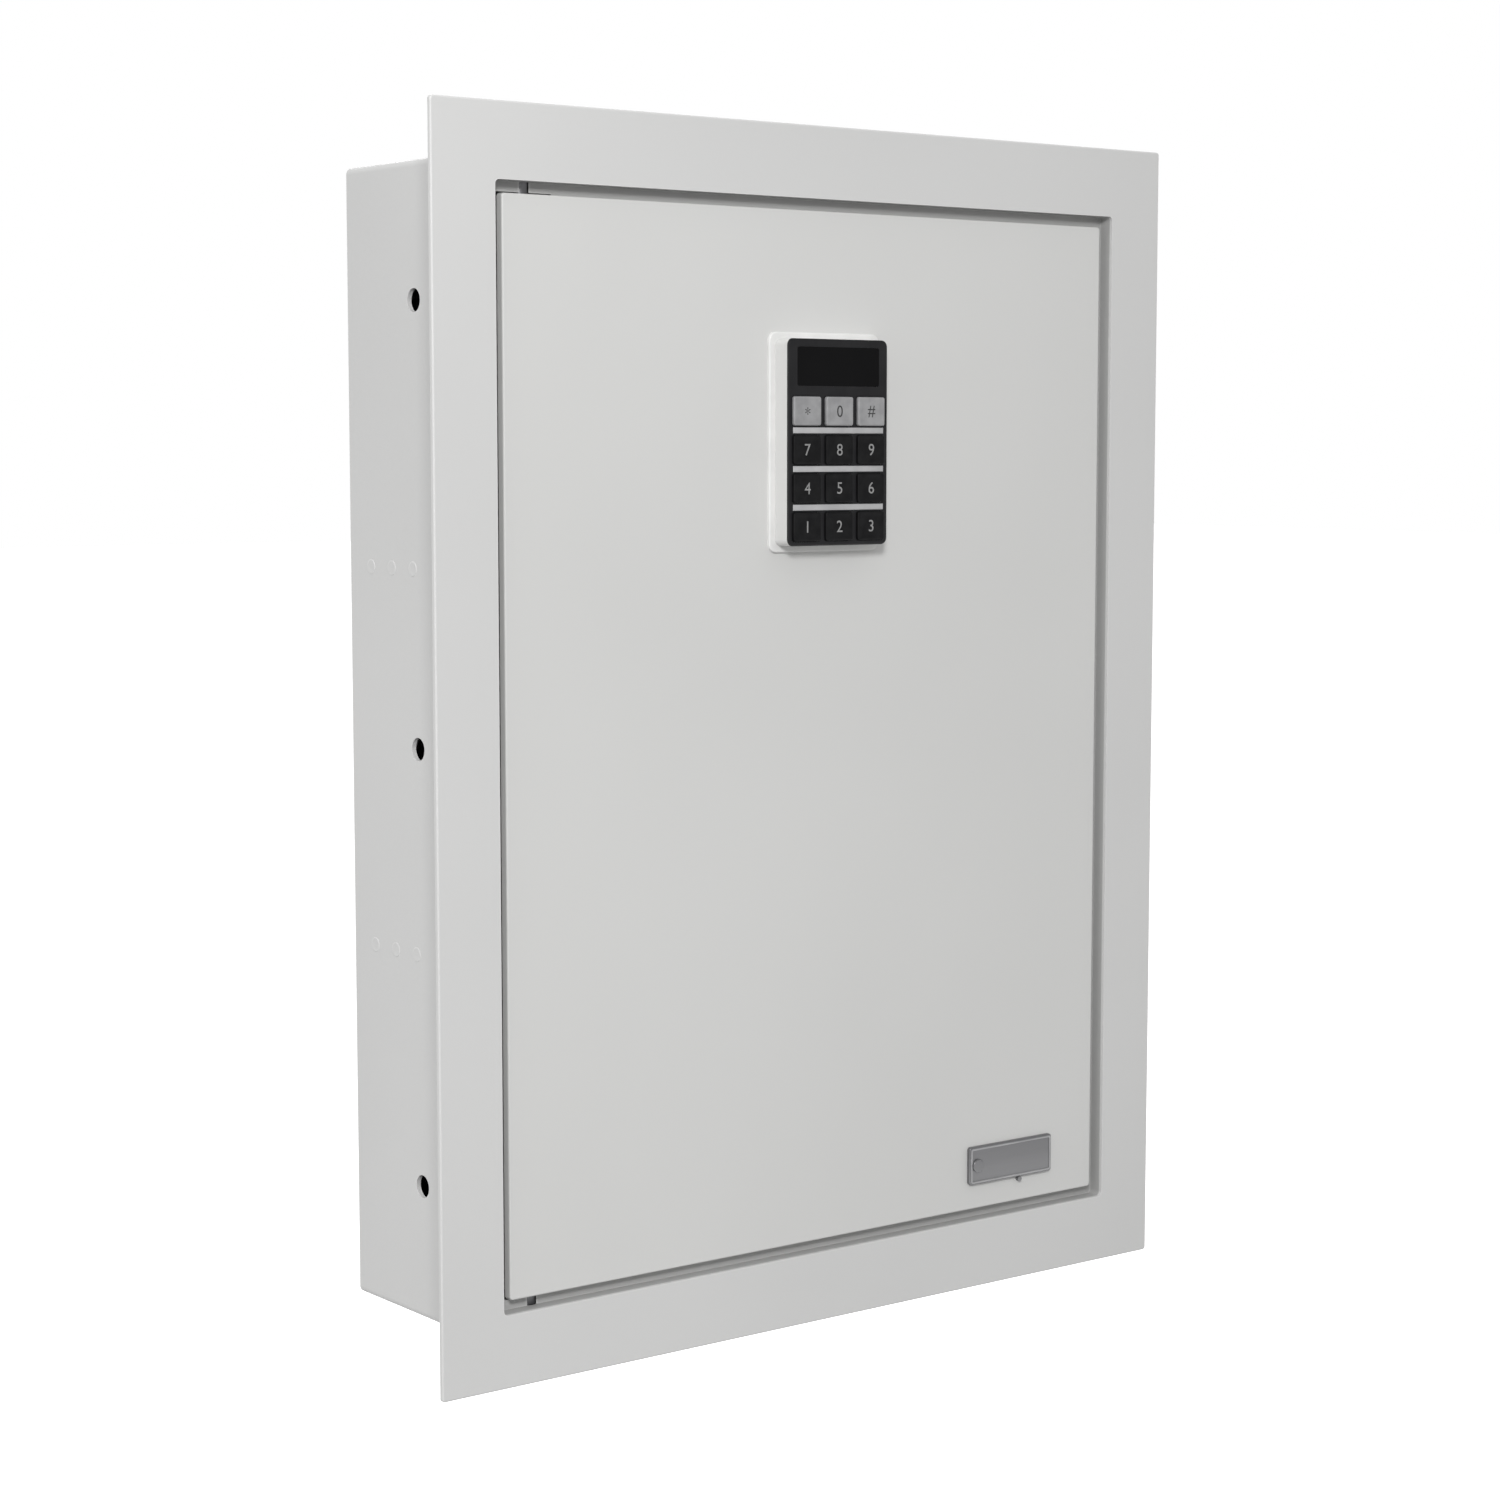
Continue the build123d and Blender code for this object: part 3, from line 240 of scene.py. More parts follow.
def weld_run(puddles):
    """A run of weld along Z, centred on the origin."""
    deselect()
    low = -PUDDLE_STEP * (puddles - 1) / 2
    bpy.ops.mesh.primitive_ico_sphere_add(subdivisions=2, radius=PUDDLE, location=(0, 0, low))
    run = bpy.context.object
    bpy.ops.object.transform_apply(location=True)
    run.modifiers.new("row", "ARRAY").count = puddles
    run.modifiers["row"].use_relative_offset = False
    run.modifiers["row"].use_constant_offset = True
    run.modifiers["row"].constant_offset_displace = (0, 0, PUDDLE_STEP)
    run.modifiers.new("flow", "REMESH").voxel_size = PUDDLE * 0.28
    run.modifiers.new("soften", "SMOOTH").iterations = 2
    apply_modifiers(run)
    bpy.ops.object.shade_smooth()
    return run


inside_low, inside_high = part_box("back_panel")
back_y = inside_low.y - SUNK
corner_x = inside_high.x - SUNK
corner_z = inside_high.z - SUNK
upright = [Matrix.Translation((side * corner_x, back_y, z)) for side in (-1, 1) for z in UPRIGHT_RUNS]
lying = [Matrix.Translation((x, back_y, side * corner_z)) @ Matrix.Rotation(pi / 2, 4, "Y")
         for side in (-1, 1) for x in LYING_RUNS]
back_welds = settle(join(copies(weld_run(PUDDLES), upright + lying)), "back_welds", cabinet_paint)
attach(back_welds, "cabinet")

# ---- The spot welds in the cabinet's sides ----
# Where the electrodes have pressed the shelf rails and the strike channel to the walls, each leaves a
# round mark with a low rim on the outside, under the paint.
SPOT = 0.0032
SPOT_PROUD = 0.00013
RAIL_LEG_IN = 0.006
RAIL_END_IN = 0.009
STRIKE_SPOTS = (-0.165, -0.085, 0.035, 0.115, 0.17)


def pick(piece, test):
    """Opens a piece with only the faces selected whose centre and normal pass the test."""
    deselect()
    piece.select_set(True)
    bpy.context.view_layer.objects.active = piece
    bpy.context.scene.tool_settings.mesh_select_mode = (False, False, True)
    for part in (piece.data.vertices, piece.data.edges, piece.data.polygons):
        part.foreach_set("select", [False] * len(part))
    for face in piece.data.polygons:
        face.select = test(face.center, face.normal)
    bpy.ops.object.mode_set(mode="EDIT")


def push(x=0.0, y=0.0, z=0.0):
    """Moves what is selected in the open piece."""
    bpy.ops.transform.translate(value=(x, y, z))


deselect()
bpy.ops.mesh.primitive_cylinder_add(vertices=28, radius=SPOT, depth=SPOT_PROUD * 2)
spot = bpy.context.object
pick(spot, lambda centre, normal: normal.z > 0.9)
bpy.ops.mesh.bevel(offset=SPOT_PROUD * 0.8, segments=2)
bpy.ops.object.mode_set(mode="OBJECT")
pick(spot, lambda centre, normal: normal.z > 0.999)
bpy.ops.mesh.inset(thickness=SPOT * 0.2)
push(z=-SPOT_PROUD * 0.3)
bpy.ops.mesh.inset(thickness=SPOT * 0.2)
push(z=-SPOT_PROUD * 0.4)
bpy.ops.object.mode_set(mode="OBJECT")
bpy.ops.object.shade_smooth_by_angle(angle=radians(50))
wrap_low, wrap_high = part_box("body_wrap")
rail_low, rail_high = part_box("shelf_rails")
strike_low, strike_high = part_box("strike_plate")
rail_depths = (rail_low.y + RAIL_END_IN, (rail_low.y + rail_high.y) / 2, rail_high.y - RAIL_END_IN)
rail_levels = (rail_high.z - RAIL_LEG_IN, rail_low.z + RAIL_LEG_IN)
rail_marks = [(side, y, z) for side in (-1, 1) for z in rail_levels for y in rail_depths]
strike_marks = [(1, (strike_low.y + strike_high.y) / 2, z) for z in STRIKE_SPOTS]
marks = [Matrix.Translation((side * wrap_high.x, y, z)) @ Matrix.Rotation(side * pi / 2, 4, "Y")
         for side, y, z in rail_marks + strike_marks]
spot_welds = settle(join(copies(spot, marks)), "spot_welds", cabinet_paint)
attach(spot_welds, "cabinet")

# ---- The plated brackets and channels ----
# Strike channel, pivot brackets, hinge lugs, bolt guide, bolt bar and standoffs. Pressed steel with a
# thin coat of zinc that has dried in faint bluish and yellowish clouds, over the lines of the rolled sheet.
zinc = new_finish("zinc_plate", ((0.56, 0.57, 0.56), (0.68, 0.68, 0.65)),
                  90.0, (0.28, 0.46), 900.0, 0.000012, stretch=(1.0, 1.0, 0.12), Metallic=1.0)
coat(zinc, "strike_plate", "pivot_brackets", "hinge_lugs", "bolt_guide", "bolt_bar", "cover_standoffs")

# The bushes are pressed and sintered bronze, so their surface is open and holds oil in its pores.
bronze = new_finish("bush_bronze", ((0.42, 0.27, 0.11), (0.58, 0.40, 0.19)),
                    500.0, (0.3, 0.5), 6000.0, 0.00003, Metallic=1.0)
coat(bronze, "pivot_bushes")

# ---- The turned and drawn steel ----
# Bolts, hinge pins, guide screws, pinion, cam and nut, turned and polished, with fine rings round their
# length. The pins are blacked and oiled. The small screws and battery contacts are nickel plated.
bright = new_finish("bright_steel", ((0.58, 0.58, 0.60), (0.74, 0.74, 0.75)),
                    60.0, (0.16, 0.32), 4200.0, 0.000006, stretch=(1.0, 0.05, 0.05), Metallic=1.0)
coat(bright, "live_bolts", "guide_screws", "drive_pinion", "lock_cam", "lock_nut")
pin_steel = new_finish("pin_steel", ((0.10, 0.10, 0.105), (0.16, 0.16, 0.165)),
                       60.0, (0.3, 0.44), 4200.0, 0.000006, stretch=(0.05, 0.05, 1.0), Metallic=1.0)
coat(pin_steel, "hinge_pins")
nickel = new_finish("nickel_plate", ((0.50, 0.49, 0.46), (0.66, 0.65, 0.62)),
                    220.0, (0.2, 0.36), 3000.0, 0.00001, Metallic=1.0)
coat(nickel, "cover_screws", "keypad_screws", "battery_contacts")

# ---- The door bumpers, lead grommet and key mat ----
# Soft black rubber out of a mould, dull, with a bloom that pales it in places.
rubber = new_finish("rubber_black", ((0.018, 0.018, 0.019), (0.034, 0.034, 0.035)),
                    300.0, (0.62, 0.8), 5200.0, 0.00003, Specular_IOR_Level=0.35)
coat(rubber, "door_bumpers", "lead_grommet", "key_mat")

# ---- The floor mat ----
# Needle felt on the cabinet's floor, cut clean from the roll and laid loose, so it lies a little uneven.
# It keeps papers and valuables off the bare paint.
MAT_THICK = 0.0021
MAT_WAVE = 0.0005
MAT_EDGE = 0.0005
mat_low, mat_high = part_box("floor_mat")
mat_wide = mat_high.x - mat_low.x
mat_deep = mat_high.y - mat_low.y
mat_middle = (mat_low + mat_high) / 2
mat_middle.z = mat_low.z + (MAT_THICK + MAT_WAVE) / 2
deselect()
bpy.ops.mesh.primitive_grid_add(x_subdivisions=140, y_subdivisions=26, size=1.0, location=mat_middle)
mat = bpy.context.object
mat.scale = (mat_wide, mat_deep, 1.0)
bpy.ops.object.transform_apply(location=True, rotation=True, scale=True)
waves = bpy.data.textures.new("felt_waves", "CLOUDS")
waves.noise_scale = 0.045
lift = mat.modifiers.new("uneven", "DISPLACE")
lift.texture = waves
lift.texture_coords = "GLOBAL"
lift.direction = "Z"
lift.strength = MAT_WAVE
lift.mid_level = 0.5
body = mat.modifiers.new("felt", "SOLIDIFY")
body.thickness = MAT_THICK
body.offset = 0.0
edge = mat.modifiers.new("cut_edge", "BEVEL")
edge.width = MAT_EDGE
edge.segments = 2
edge.angle_limit = radians(60)
apply_modifiers(mat)
bpy.ops.object.shade_smooth_by_angle(angle=radians(40))

felt = new_finish("carpet", ((0.045, 0.045, 0.05), (0.10, 0.10, 0.108)),
                  2400.0, (0.88, 0.98), 4200.0, 0.0005,
                  Sheen_Weight=0.35, Sheen_Roughness=0.5, Specular_IOR_Level=0.2)
settle(mat, "floor_felt", felt)
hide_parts("floor_mat")
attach(mat, "cabinet")

# ---- The welds of the hinge lugs ----
# A short run of weld along the foot of each knuckle holds the lug to the back of the door plate. It is
# painted with the door.
KNUCKLE = 0.010
LUG_TALL = 0.042
LUG_PUDDLES = 4
panel_low, panel_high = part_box("door_panel")
lug_low, lug_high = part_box("hinge_lugs")
knuckle_rows = [lug_high.z - KNUCKLE / 2, lug_high.z - LUG_TALL + KNUCKLE / 2]
lug_feet = [Matrix.Translation((lug_low.x, panel_high.y, side * z))
            for side in (-1, 1) for z in knuckle_rows]
lug_welds = settle(join(copies(weld_run(LUG_PUDDLES), lug_feet)), "lug_welds", door_paint)
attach(lug_welds, "door")

# ---- The hinge springs ----
# Two torsion springs of drawn wire, wound close round the pins. One leg stands in a notch of the frame and
# the other presses on the door's lug, so that the door swings ajar when the bolts draw back.
WIRE = 0.0005
COIL = 0.00385
TURNS = 16.75
COIL_TALL = 0.018
COIL_STEPS = 26
SPRING_END = 0.001
spring_low, spring_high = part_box("hinge_springs")
pin_low, pin_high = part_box("hinge_pins")
pin_x = (pin_low.x + pin_high.x) / 2
pin_y = (pin_low.y + pin_high.y) / 2
first_z = spring_high.z - SPRING_END - COIL_TALL
deselect()
bpy.ops.mesh.primitive_circle_add(vertices=12, radius=WIRE, rotation=(pi / 2, 0, 0), location=(COIL, 0, 0))
spring = bpy.context.object
bpy.ops.object.transform_apply(location=True, rotation=True, scale=True)
winding = spring.modifiers.new("winding", "SCREW")
winding.angle = -TURNS * 2 * pi
winding.screw_offset = COIL_TALL
winding.steps = int(TURNS * COIL_STEPS)
winding.render_steps = winding.steps
winding.use_merge_vertices = False
apply_modifiers(spring)


def pick_edges(piece, test):
    """Opens a piece with only the edges selected whose two ends pass the test."""
    deselect()
    piece.select_set(True)
    bpy.context.view_layer.objects.active = piece
    bpy.context.scene.tool_settings.mesh_select_mode = (False, True, False)
    points = piece.data.vertices
    for part in (piece.data.vertices, piece.data.edges, piece.data.polygons):
        part.foreach_set("select", [False] * len(part))
    for line in piece.data.edges:
        line.select = all(test(points[end].co) for end in line.vertices)
    bpy.ops.object.mode_set(mode="EDIT")


TOUCH = WIRE * 0.02
LOOP = WIRE * 1.02
pick_edges(spring, lambda at: abs(at.y) < TOUCH and at.x > 0 and abs(at.z) < LOOP)
bpy.ops.mesh.extrude_region_move(TRANSFORM_OT_translate={"value": (0, spring_high.y - pin_y, 0)})
bpy.ops.mesh.edge_face_add()
pick_edges(spring, lambda at: abs(at.x) < TOUCH and at.y > 0 and abs(at.z - COIL_TALL) < LOOP)
bpy.ops.mesh.extrude_region_move(TRANSFORM_OT_translate={"value": (spring_high.x - pin_x, 0, 0)})
bpy.ops.mesh.edge_face_add()
bpy.ops.mesh.select_all(action="SELECT")
bpy.ops.mesh.remove_doubles(threshold=WIRE * 0.01)
bpy.ops.mesh.normals_make_consistent(inside=False)
bpy.ops.object.mode_set(mode="OBJECT")
bpy.ops.object.shade_smooth_by_angle(angle=radians(50))
wire = new_finish("spring_steel", ((0.28, 0.28, 0.30), (0.42, 0.42, 0.44)),
                  150.0, (0.24, 0.4), 5000.0, 0.000008, Metallic=1.0)
at_pin = Matrix.Translation((pin_x, pin_y, first_z))
upper_spring, lower_spring = copies(spring, [at_pin, Matrix.Scale(-1, 4, (0, 0, 1)) @ at_pin])
for piece, name, side in ((upper_spring, "hinge_spring_upper", 1), (lower_spring, "hinge_spring_lower", -1)):
    settle(piece, name, wire)
    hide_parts("hinge_springs")
    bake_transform(piece)

# ---- The bolt drive ----
# A small motor in a drawn steel can turns the pinion through a gearbox in a moulded case.
can = new_finish("motor_can", ((0.50, 0.50, 0.50), (0.62, 0.62, 0.61)), 40.0, (0.22, 0.34), 3000.0, 0.000006,
                 stretch=(1.0, 1.0, 0.05), Metallic=1.0)
coat(can, "drive_motor")
case = new_finish("gear_case", ((0.02, 0.02, 0.022), (0.032, 0.032, 0.034)),
                  80.0, (0.42, 0.55), 5200.0, 0.00002)
coat(case, "gearbox")

# ---- The electronics inside the door ----
# The boards are fibreglass under a green lacquer, in which the copper shows as paler tracks. The box that
# holds the main board, and the battery tray with its lid, are moulded with a fine spark texture.


def track_finish(name, lacquer, copper):
    """Green lacquer with square tracks under it."""
    finish = new_finish(name, (lacquer, lacquer), 60.0, (0.22, 0.34), 2600.0, 0.000008)
    inputs = {"Vector": own_place(finish), "Scale": 240.0, "Randomness": 0.35}
    settings = {"feature": "DISTANCE_TO_EDGE", "voronoi_dimensions": "3D"}
    tracks = add_node(finish, "ShaderNodeTexVoronoi", inputs, **settings).outputs["Distance"]
    share = spread(finish, tracks, 1.0, 0.0, 0.05, 0.09)
    feed(finish, "Base Color", mix_colours(finish, share, (*lacquer, 1.0), (*copper, 1.0)))
    return finish


board = track_finish("circuit_board", (0.008, 0.07, 0.028), (0.03, 0.19, 0.07))
coat(board, "keypad_board", "control_board")
spark = new_finish("box_plastic", ((0.028, 0.028, 0.031), (0.042, 0.042, 0.045)),
                   70.0, (0.5, 0.66), 3400.0, 0.00004)
coat(spark, "control_box", "battery_holder", "battery_cover", "reset_switch")
sleeve = new_finish("lead_sleeve", ((0.022, 0.022, 0.024), (0.04, 0.04, 0.042)),
                    160.0, (0.4, 0.52), 1800.0, 0.00002)
coat(sleeve, "wiring")

# ---- The keypad's shell ----
# A pale plate lies against the door and carries the pale moulded shell. The shell's front is covered with a
# black film, which laps a little round its edges. Thin grey bars lie on it between the rows of keys.
FILM_DEEP = 0.0009
FILM_EDGE = 0.00005
SHELL_PALE = (0.64, 0.64, 0.63, 1.0)
BAR_PROUD = 0.0003
BAR_TALL = 0.0026
BAR_END = 0.0026
pale = new_finish("keypad_pale", ((0.66, 0.66, 0.65), (0.73, 0.73, 0.72)),
                  60.0, (0.34, 0.46), 2600.0, 0.000015)
coat(pale, "keypad_base")
shell_low, shell_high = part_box("keypad_housing")
shell = new_finish("keypad_black", ((0.006, 0.006, 0.007), (0.010, 0.010, 0.011)),
                   90.0, (0.4, 0.5), 3800.0, 0.00002)
front_film = shell.node_tree.nodes["Principled BSDF"].inputs["Base Color"].links[0].from_socket
depth_in = add_node(shell, "ShaderNodeSeparateXYZ", {"Vector": own_place(shell)}).outputs["Y"]
film_end = shell_low.y + FILM_DEEP
behind = spread(shell, depth_in, 0.0, 1.0, film_end, film_end + FILM_EDGE)
feed(shell, "Base Color", mix_colours(shell, behind, front_film, SHELL_PALE))
feed(shell, "Specular IOR Level", spread(shell, behind, 0.2, 0.5, 0.0, 1.0))
coat(shell, "keypad_housing")
shell_x = (shell_low.x + shell_high.x) / 2
rows = [sum(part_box(f"key_{name}")[side].z for side in (0, 1)) / 2 for name in ("2", "5", "8", "0")]
bar_size = (shell_high.x - shell_low.x - 2 * BAR_END, 2 * BAR_PROUD, BAR_TALL)
deselect()
bpy.ops.mesh.primitive_cube_add(size=1.0)
bar = bpy.context.object
bar.scale = bar_size
bpy.ops.object.transform_apply(scale=True)
pick(bar, lambda centre, normal: normal.y < -0.9)
bpy.ops.mesh.bevel(offset=BAR_PROUD * 0.8, segments=3)
bpy.ops.object.mode_set(mode="OBJECT")
bpy.ops.object.shade_smooth_by_angle(angle=radians(50))
between = [Matrix.Translation((shell_x, shell_low.y, (low + high) / 2)) for low, high in zip(rows, rows[1:])]
bar_grey = new_finish("bar_grey", ((0.36, 0.36, 0.365), (0.43, 0.43, 0.435)),
                      120.0, (0.35, 0.5), 2600.0, 0.00001)
row_bars = settle(join(copies(bar, between)), "row_bars", bar_grey)
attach(row_bars, "door")

# ---- The display ----
# A liquid crystal glass behind a smoked window. With the power off its four digits are only just darker
# than the glass round them. The window is polished acrylic.
SEGMENT_LONG = 0.0042
SEGMENT_WIDE = 0.0008
SEGMENT_THICK = 0.00012
DIGITS = 4
DIGIT_STEP = 0.0088
smoke = new_finish("window_smoke", ((0.002, 0.002, 0.0025), (0.004, 0.004, 0.0045)),
                   30.0, (0.05, 0.09), 60.0, 0.000004,
                   Transmission_Weight=0.25, IOR=1.49, Specular_IOR_Level=0.03)
coat(smoke, "display_window")
glass = new_finish("display_glass", ((0.02, 0.024, 0.021), (0.03, 0.035, 0.03)),
                   40.0, (0.1, 0.18), 400.0, 0.000004)
coat(glass, "display_module")
glass_low, glass_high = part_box("display_module")
glass_middle = (glass_low + glass_high) / 2
deselect()
bpy.ops.mesh.primitive_cube_add(size=1.0)
segment = bpy.context.object
segment.scale = (SEGMENT_LONG, SEGMENT_THICK, SEGMENT_WIDE)
bpy.ops.object.transform_apply(scale=True)


def pick_corners(piece):
    """Opens a piece with only the edges selected that run from its front to its back."""
    pick_edges(piece, lambda at: False)
    bpy.ops.object.mode_set(mode="OBJECT")
    points = piece.data.vertices
    for line in piece.data.edges:
        one, other = (points[end].co for end in line.vertices)
        line.select = (one.xz - other.xz).length < abs(one.y - other.y)
    bpy.ops.object.mode_set(mode="EDIT")


pick_corners(segment)
bpy.ops.mesh.bevel(offset=SEGMENT_WIDE * 0.48, segments=1)
bpy.ops.object.mode_set(mode="OBJECT")
reach = SEGMENT_LONG / 2 + SEGMENT_WIDE * 0.12
flat_bars = [(0.0, level * 2 * reach, 0.0) for level in (-1, 0, 1)]
tall_bars = [(side * reach, level * reach, pi / 2) for side in (-1, 1) for level in (-1, 1)]
lit = []
for number in range(DIGITS):
    across = glass_middle.x + (number - (DIGITS - 1) / 2) * DIGIT_STEP
    for x, z, turn in flat_bars + tall_bars:
        at = Matrix.Translation((across + x, glass_low.y, glass_middle.z + z))
        lit.append(at @ Matrix.Rotation(turn, 4, "Y"))
ink = new_finish("digit_ink", ((0.012, 0.014, 0.012), (0.018, 0.02, 0.018)),
                 40.0, (0.2, 0.3), 400.0, 0.000004)
digits = settle(join(copies(segment, lit)), "display_digits", ink)
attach(digits, "door")

# ---- The keys ----
# Twelve caps of coated silicone with a shallow dish for the finger, and a flange behind that keeps each in
# the shell. Nine are black, and the upper row is grey. The marks are printed in the dish.
KEY_RIM = 0.0008
CAP_CORNER = 0.001
CAP_ROUND = 0.0006
FLANGE_THICK = 0.001
DISH_STEPS = ((0.9, 0.00008), (0.88, 0.0001), (0.86, 0.00005))
MARK_TALL = 0.0054
MARK_THICK = 0.00006
MARKS = {"clear": "*", "enter": "#"}
key_low, key_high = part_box("key_1")
key_middle = (key_low + key_high) / 2
cap_wide = key_high.x - key_low.x - 2 * KEY_RIM
cap_tall = key_high.z - key_low.z - 2 * KEY_RIM
cap_back = key_high.y - FLANGE_THICK
deselect()
bpy.ops.mesh.primitive_cube_add(size=1.0, location=(key_middle.x, (key_low.y + cap_back) / 2, key_middle.z))
cap = bpy.context.object
cap.scale = (cap_wide, cap_back - key_low.y, cap_tall)
bpy.ops.object.transform_apply(location=True, rotation=True, scale=True)
pick_corners(cap)
bpy.ops.mesh.bevel(offset=CAP_CORNER, segments=5)
pick(cap, lambda centre, normal: normal.y < -0.99)
bpy.ops.mesh.bevel(offset=CAP_ROUND, segments=4)
pick(cap, lambda centre, normal: normal.y < -0.999)
cap_front = (key_middle.x, key_low.y, key_middle.z)
for narrower, deeper in DISH_STEPS:
    bpy.ops.mesh.extrude_region_move(TRANSFORM_OT_translate={"value": (0, deeper, 0)})
    bpy.ops.transform.resize(value=(narrower, 1.0, narrower), center_override=cap_front)
pick(cap, lambda centre, normal: normal.y > 0.99)
bpy.ops.mesh.extrude_region_move(TRANSFORM_OT_translate={"value": (0, 0, 0)})
wider = (1 + 2 * KEY_RIM / cap_wide, 1.0, 1 + 2 * KEY_RIM / cap_tall)
bpy.ops.transform.resize(value=wider, center_override=(key_middle.x, cap_back, key_middle.z))
bpy.ops.mesh.extrude_region_move(TRANSFORM_OT_translate={"value": (0, FLANGE_THICK, 0)})
bpy.ops.object.mode_set(mode="OBJECT")
bpy.ops.object.shade_smooth_by_angle(angle=radians(35))

key_black = new_finish("key_dark", ((0.004, 0.004, 0.0045), (0.008, 0.008, 0.0085)),
                       200.0, (0.44, 0.56), 4600.0, 0.00002, Specular_IOR_Level=0.1)
key_grey = new_finish("key_grey", ((0.24, 0.24, 0.245), (0.29, 0.29, 0.295)),
                      200.0, (0.42, 0.55), 4600.0, 0.00002)
white_print = new_finish("white_print", ((0.21, 0.21, 0.21), (0.28, 0.28, 0.28)),
                         900.0, (0.45, 0.6), 5200.0, 0.00001)
dark_print = new_finish("dark_print", ((0.015, 0.015, 0.016), (0.03, 0.03, 0.03)),
                        900.0, (0.45, 0.6), 5200.0, 0.00001)
dish_floor = key_low.y + sum(deeper for narrower, deeper in DISH_STEPS)
key_names = [*"123456789", "clear", "0", "enter"]
middles = {name: (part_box(f"key_{name}")[0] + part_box(f"key_{name}")[1]) / 2 for name in key_names}
caps = copies(cap, [Matrix.Translation(middles[name] - key_middle) for name in key_names])
for name, piece in zip(key_names, caps):
    grey = name in ("clear", "0", "enter")
    settle(piece, f"cap_{name}", key_grey if grey else key_black)
    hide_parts(f"key_{name}")
    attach(piece, f"key_{name}")

    deselect()
    bpy.ops.object.text_add(rotation=(pi / 2, 0, 0), location=(0, dish_floor, 0))
    mark = bpy.context.object
    mark.data.body = MARKS.get(name, name)
    mark.data.size = MARK_TALL * 1.35
    mark.data.align_x = "CENTER"
    mark.data.align_y = "CENTER"
    mark.data.extrude = MARK_THICK / 2
    mark.data.resolution_u = 6
    bpy.ops.object.convert(target="MESH")
    mark = bpy.context.object
    bpy.ops.object.transform_apply(location=True, rotation=True, scale=True)
    points = [point.co for point in mark.data.vertices]
    centre_x = (min(at.x for at in points) + max(at.x for at in points)) / 2
    centre_z = (min(at.z for at in points) + max(at.z for at in points)) / 2
    mark.data.transform(Matrix.Translation((middles[name].x - centre_x, 0, middles[name].z - centre_z)))
    settle(mark, f"mark_{name}", dark_print if grey else white_print)
    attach(mark, f"key_{name}")

# ---- The override lock ----
# A cylinder lock under the badge, satin chromed, with its keyhole. It is fixed by a hexagon nut.
chrome = new_finish("lock_metal", ((0.62, 0.62, 0.62), (0.74, 0.74, 0.74)),
                    300.0, (0.14, 0.26), 3600.0, 0.000005, Metallic=1.0)
coat(chrome, "lock_barrel", "lock_plug")

# ---- The badge ----
# A blank plate, anodised satin dark grey, with a slightly brighter raised border. It covers the keyhole and
# swings up on its rivet, which is dark like the plate, as is the pin that stops it.
BORDER_FROM_EDGE = 0.0007
BORDER_WIDE = 0.0009
BORDER_PROUD = 0.0003
BORDER_CORNER = 0.0012
plate_grey = new_finish("badge_metal", ((0.15, 0.15, 0.155), (0.195, 0.195, 0.20)),
                        60.0, (0.34, 0.44), 2400.0, 0.000012, stretch=(0.05, 1.0, 1.0), Metallic=0.6)
coat(plate_grey, "badge", "badge_rivet")
border_grey = new_finish("badge_border", ((0.26, 0.26, 0.265), (0.33, 0.33, 0.335)),
                         60.0, (0.32, 0.42), 2400.0, 0.000008, Metallic=0.6)
badge_low, badge_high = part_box("badge")
badge_middle = (badge_low + badge_high) / 2
border_size = (badge_high.x - badge_low.x - 2 * BORDER_FROM_EDGE, 2 * BORDER_PROUD,
               badge_high.z - badge_low.z - 2 * BORDER_FROM_EDGE)
deselect()
bpy.ops.mesh.primitive_cube_add(size=1.0, location=(badge_middle.x, badge_low.y, badge_middle.z))
border = bpy.context.object
border.scale = border_size
bpy.ops.object.transform_apply(location=True, rotation=True, scale=True)
pick_corners(border)
bpy.ops.mesh.bevel(offset=BORDER_CORNER, segments=5)
pick(border, lambda centre, normal: abs(normal.y) > 0.99)
bpy.ops.mesh.inset(thickness=BORDER_WIDE)
bpy.ops.mesh.bridge_edge_loops()
bpy.ops.object.mode_set(mode="OBJECT")
soft = border.modifiers.new("soft_edges", "BEVEL")
soft.width = BORDER_PROUD * 0.4
soft.segments = 2
apply_modifiers(border)
bpy.ops.object.shade_smooth_by_angle(angle=radians(40))
settle(border, "badge_border", border_grey)
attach(border, "badge_plate")

# ---- The cells ----
# Four small cells of tinned steel in a shrunk film. The film laps a little over both ends, and a paler band
# is printed near the end with the nub.
HALF_CELL = 0.0246
CELL_STEP = 0.0148
FILM = 0.00012
FILM_LAP = 0.0013
FILM_ROUND = 0.0006
BAND_LONG = 0.011
BAND_FROM_END = 0.004
tin = new_finish("cell_steel", ((0.56, 0.55, 0.52), (0.68, 0.67, 0.64)),
                 120.0, (0.2, 0.32), 2200.0, 0.000008, Metallic=1.0)
coat(tin, "batteries")
film = new_finish("cell_sleeve", ((0.012, 0.013, 0.018), (0.02, 0.021, 0.028)),
                  60.0, (0.22, 0.32), 500.0, 0.00001)
band_print = new_finish("cell_band", ((0.42, 0.25, 0.10), (0.5, 0.31, 0.14)),
                        60.0, (0.24, 0.34), 500.0, 0.00001, Metallic=0.7)
cell_low, cell_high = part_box("batteries")
cell_r = (cell_high.y - cell_low.y) / 2
cell_y = (cell_low.y + cell_high.y) / 2
cell_z = (cell_low.z + cell_high.z) / 2
deselect()
bpy.ops.mesh.primitive_cylinder_add(vertices=48, radius=cell_r + FILM, depth=2 * (HALF_CELL + FILM))
sleeve_film = bpy.context.object
pick(sleeve_film, lambda centre, normal: abs(normal.z) > 0.9)
bpy.ops.mesh.bevel(offset=FILM_ROUND, segments=3)
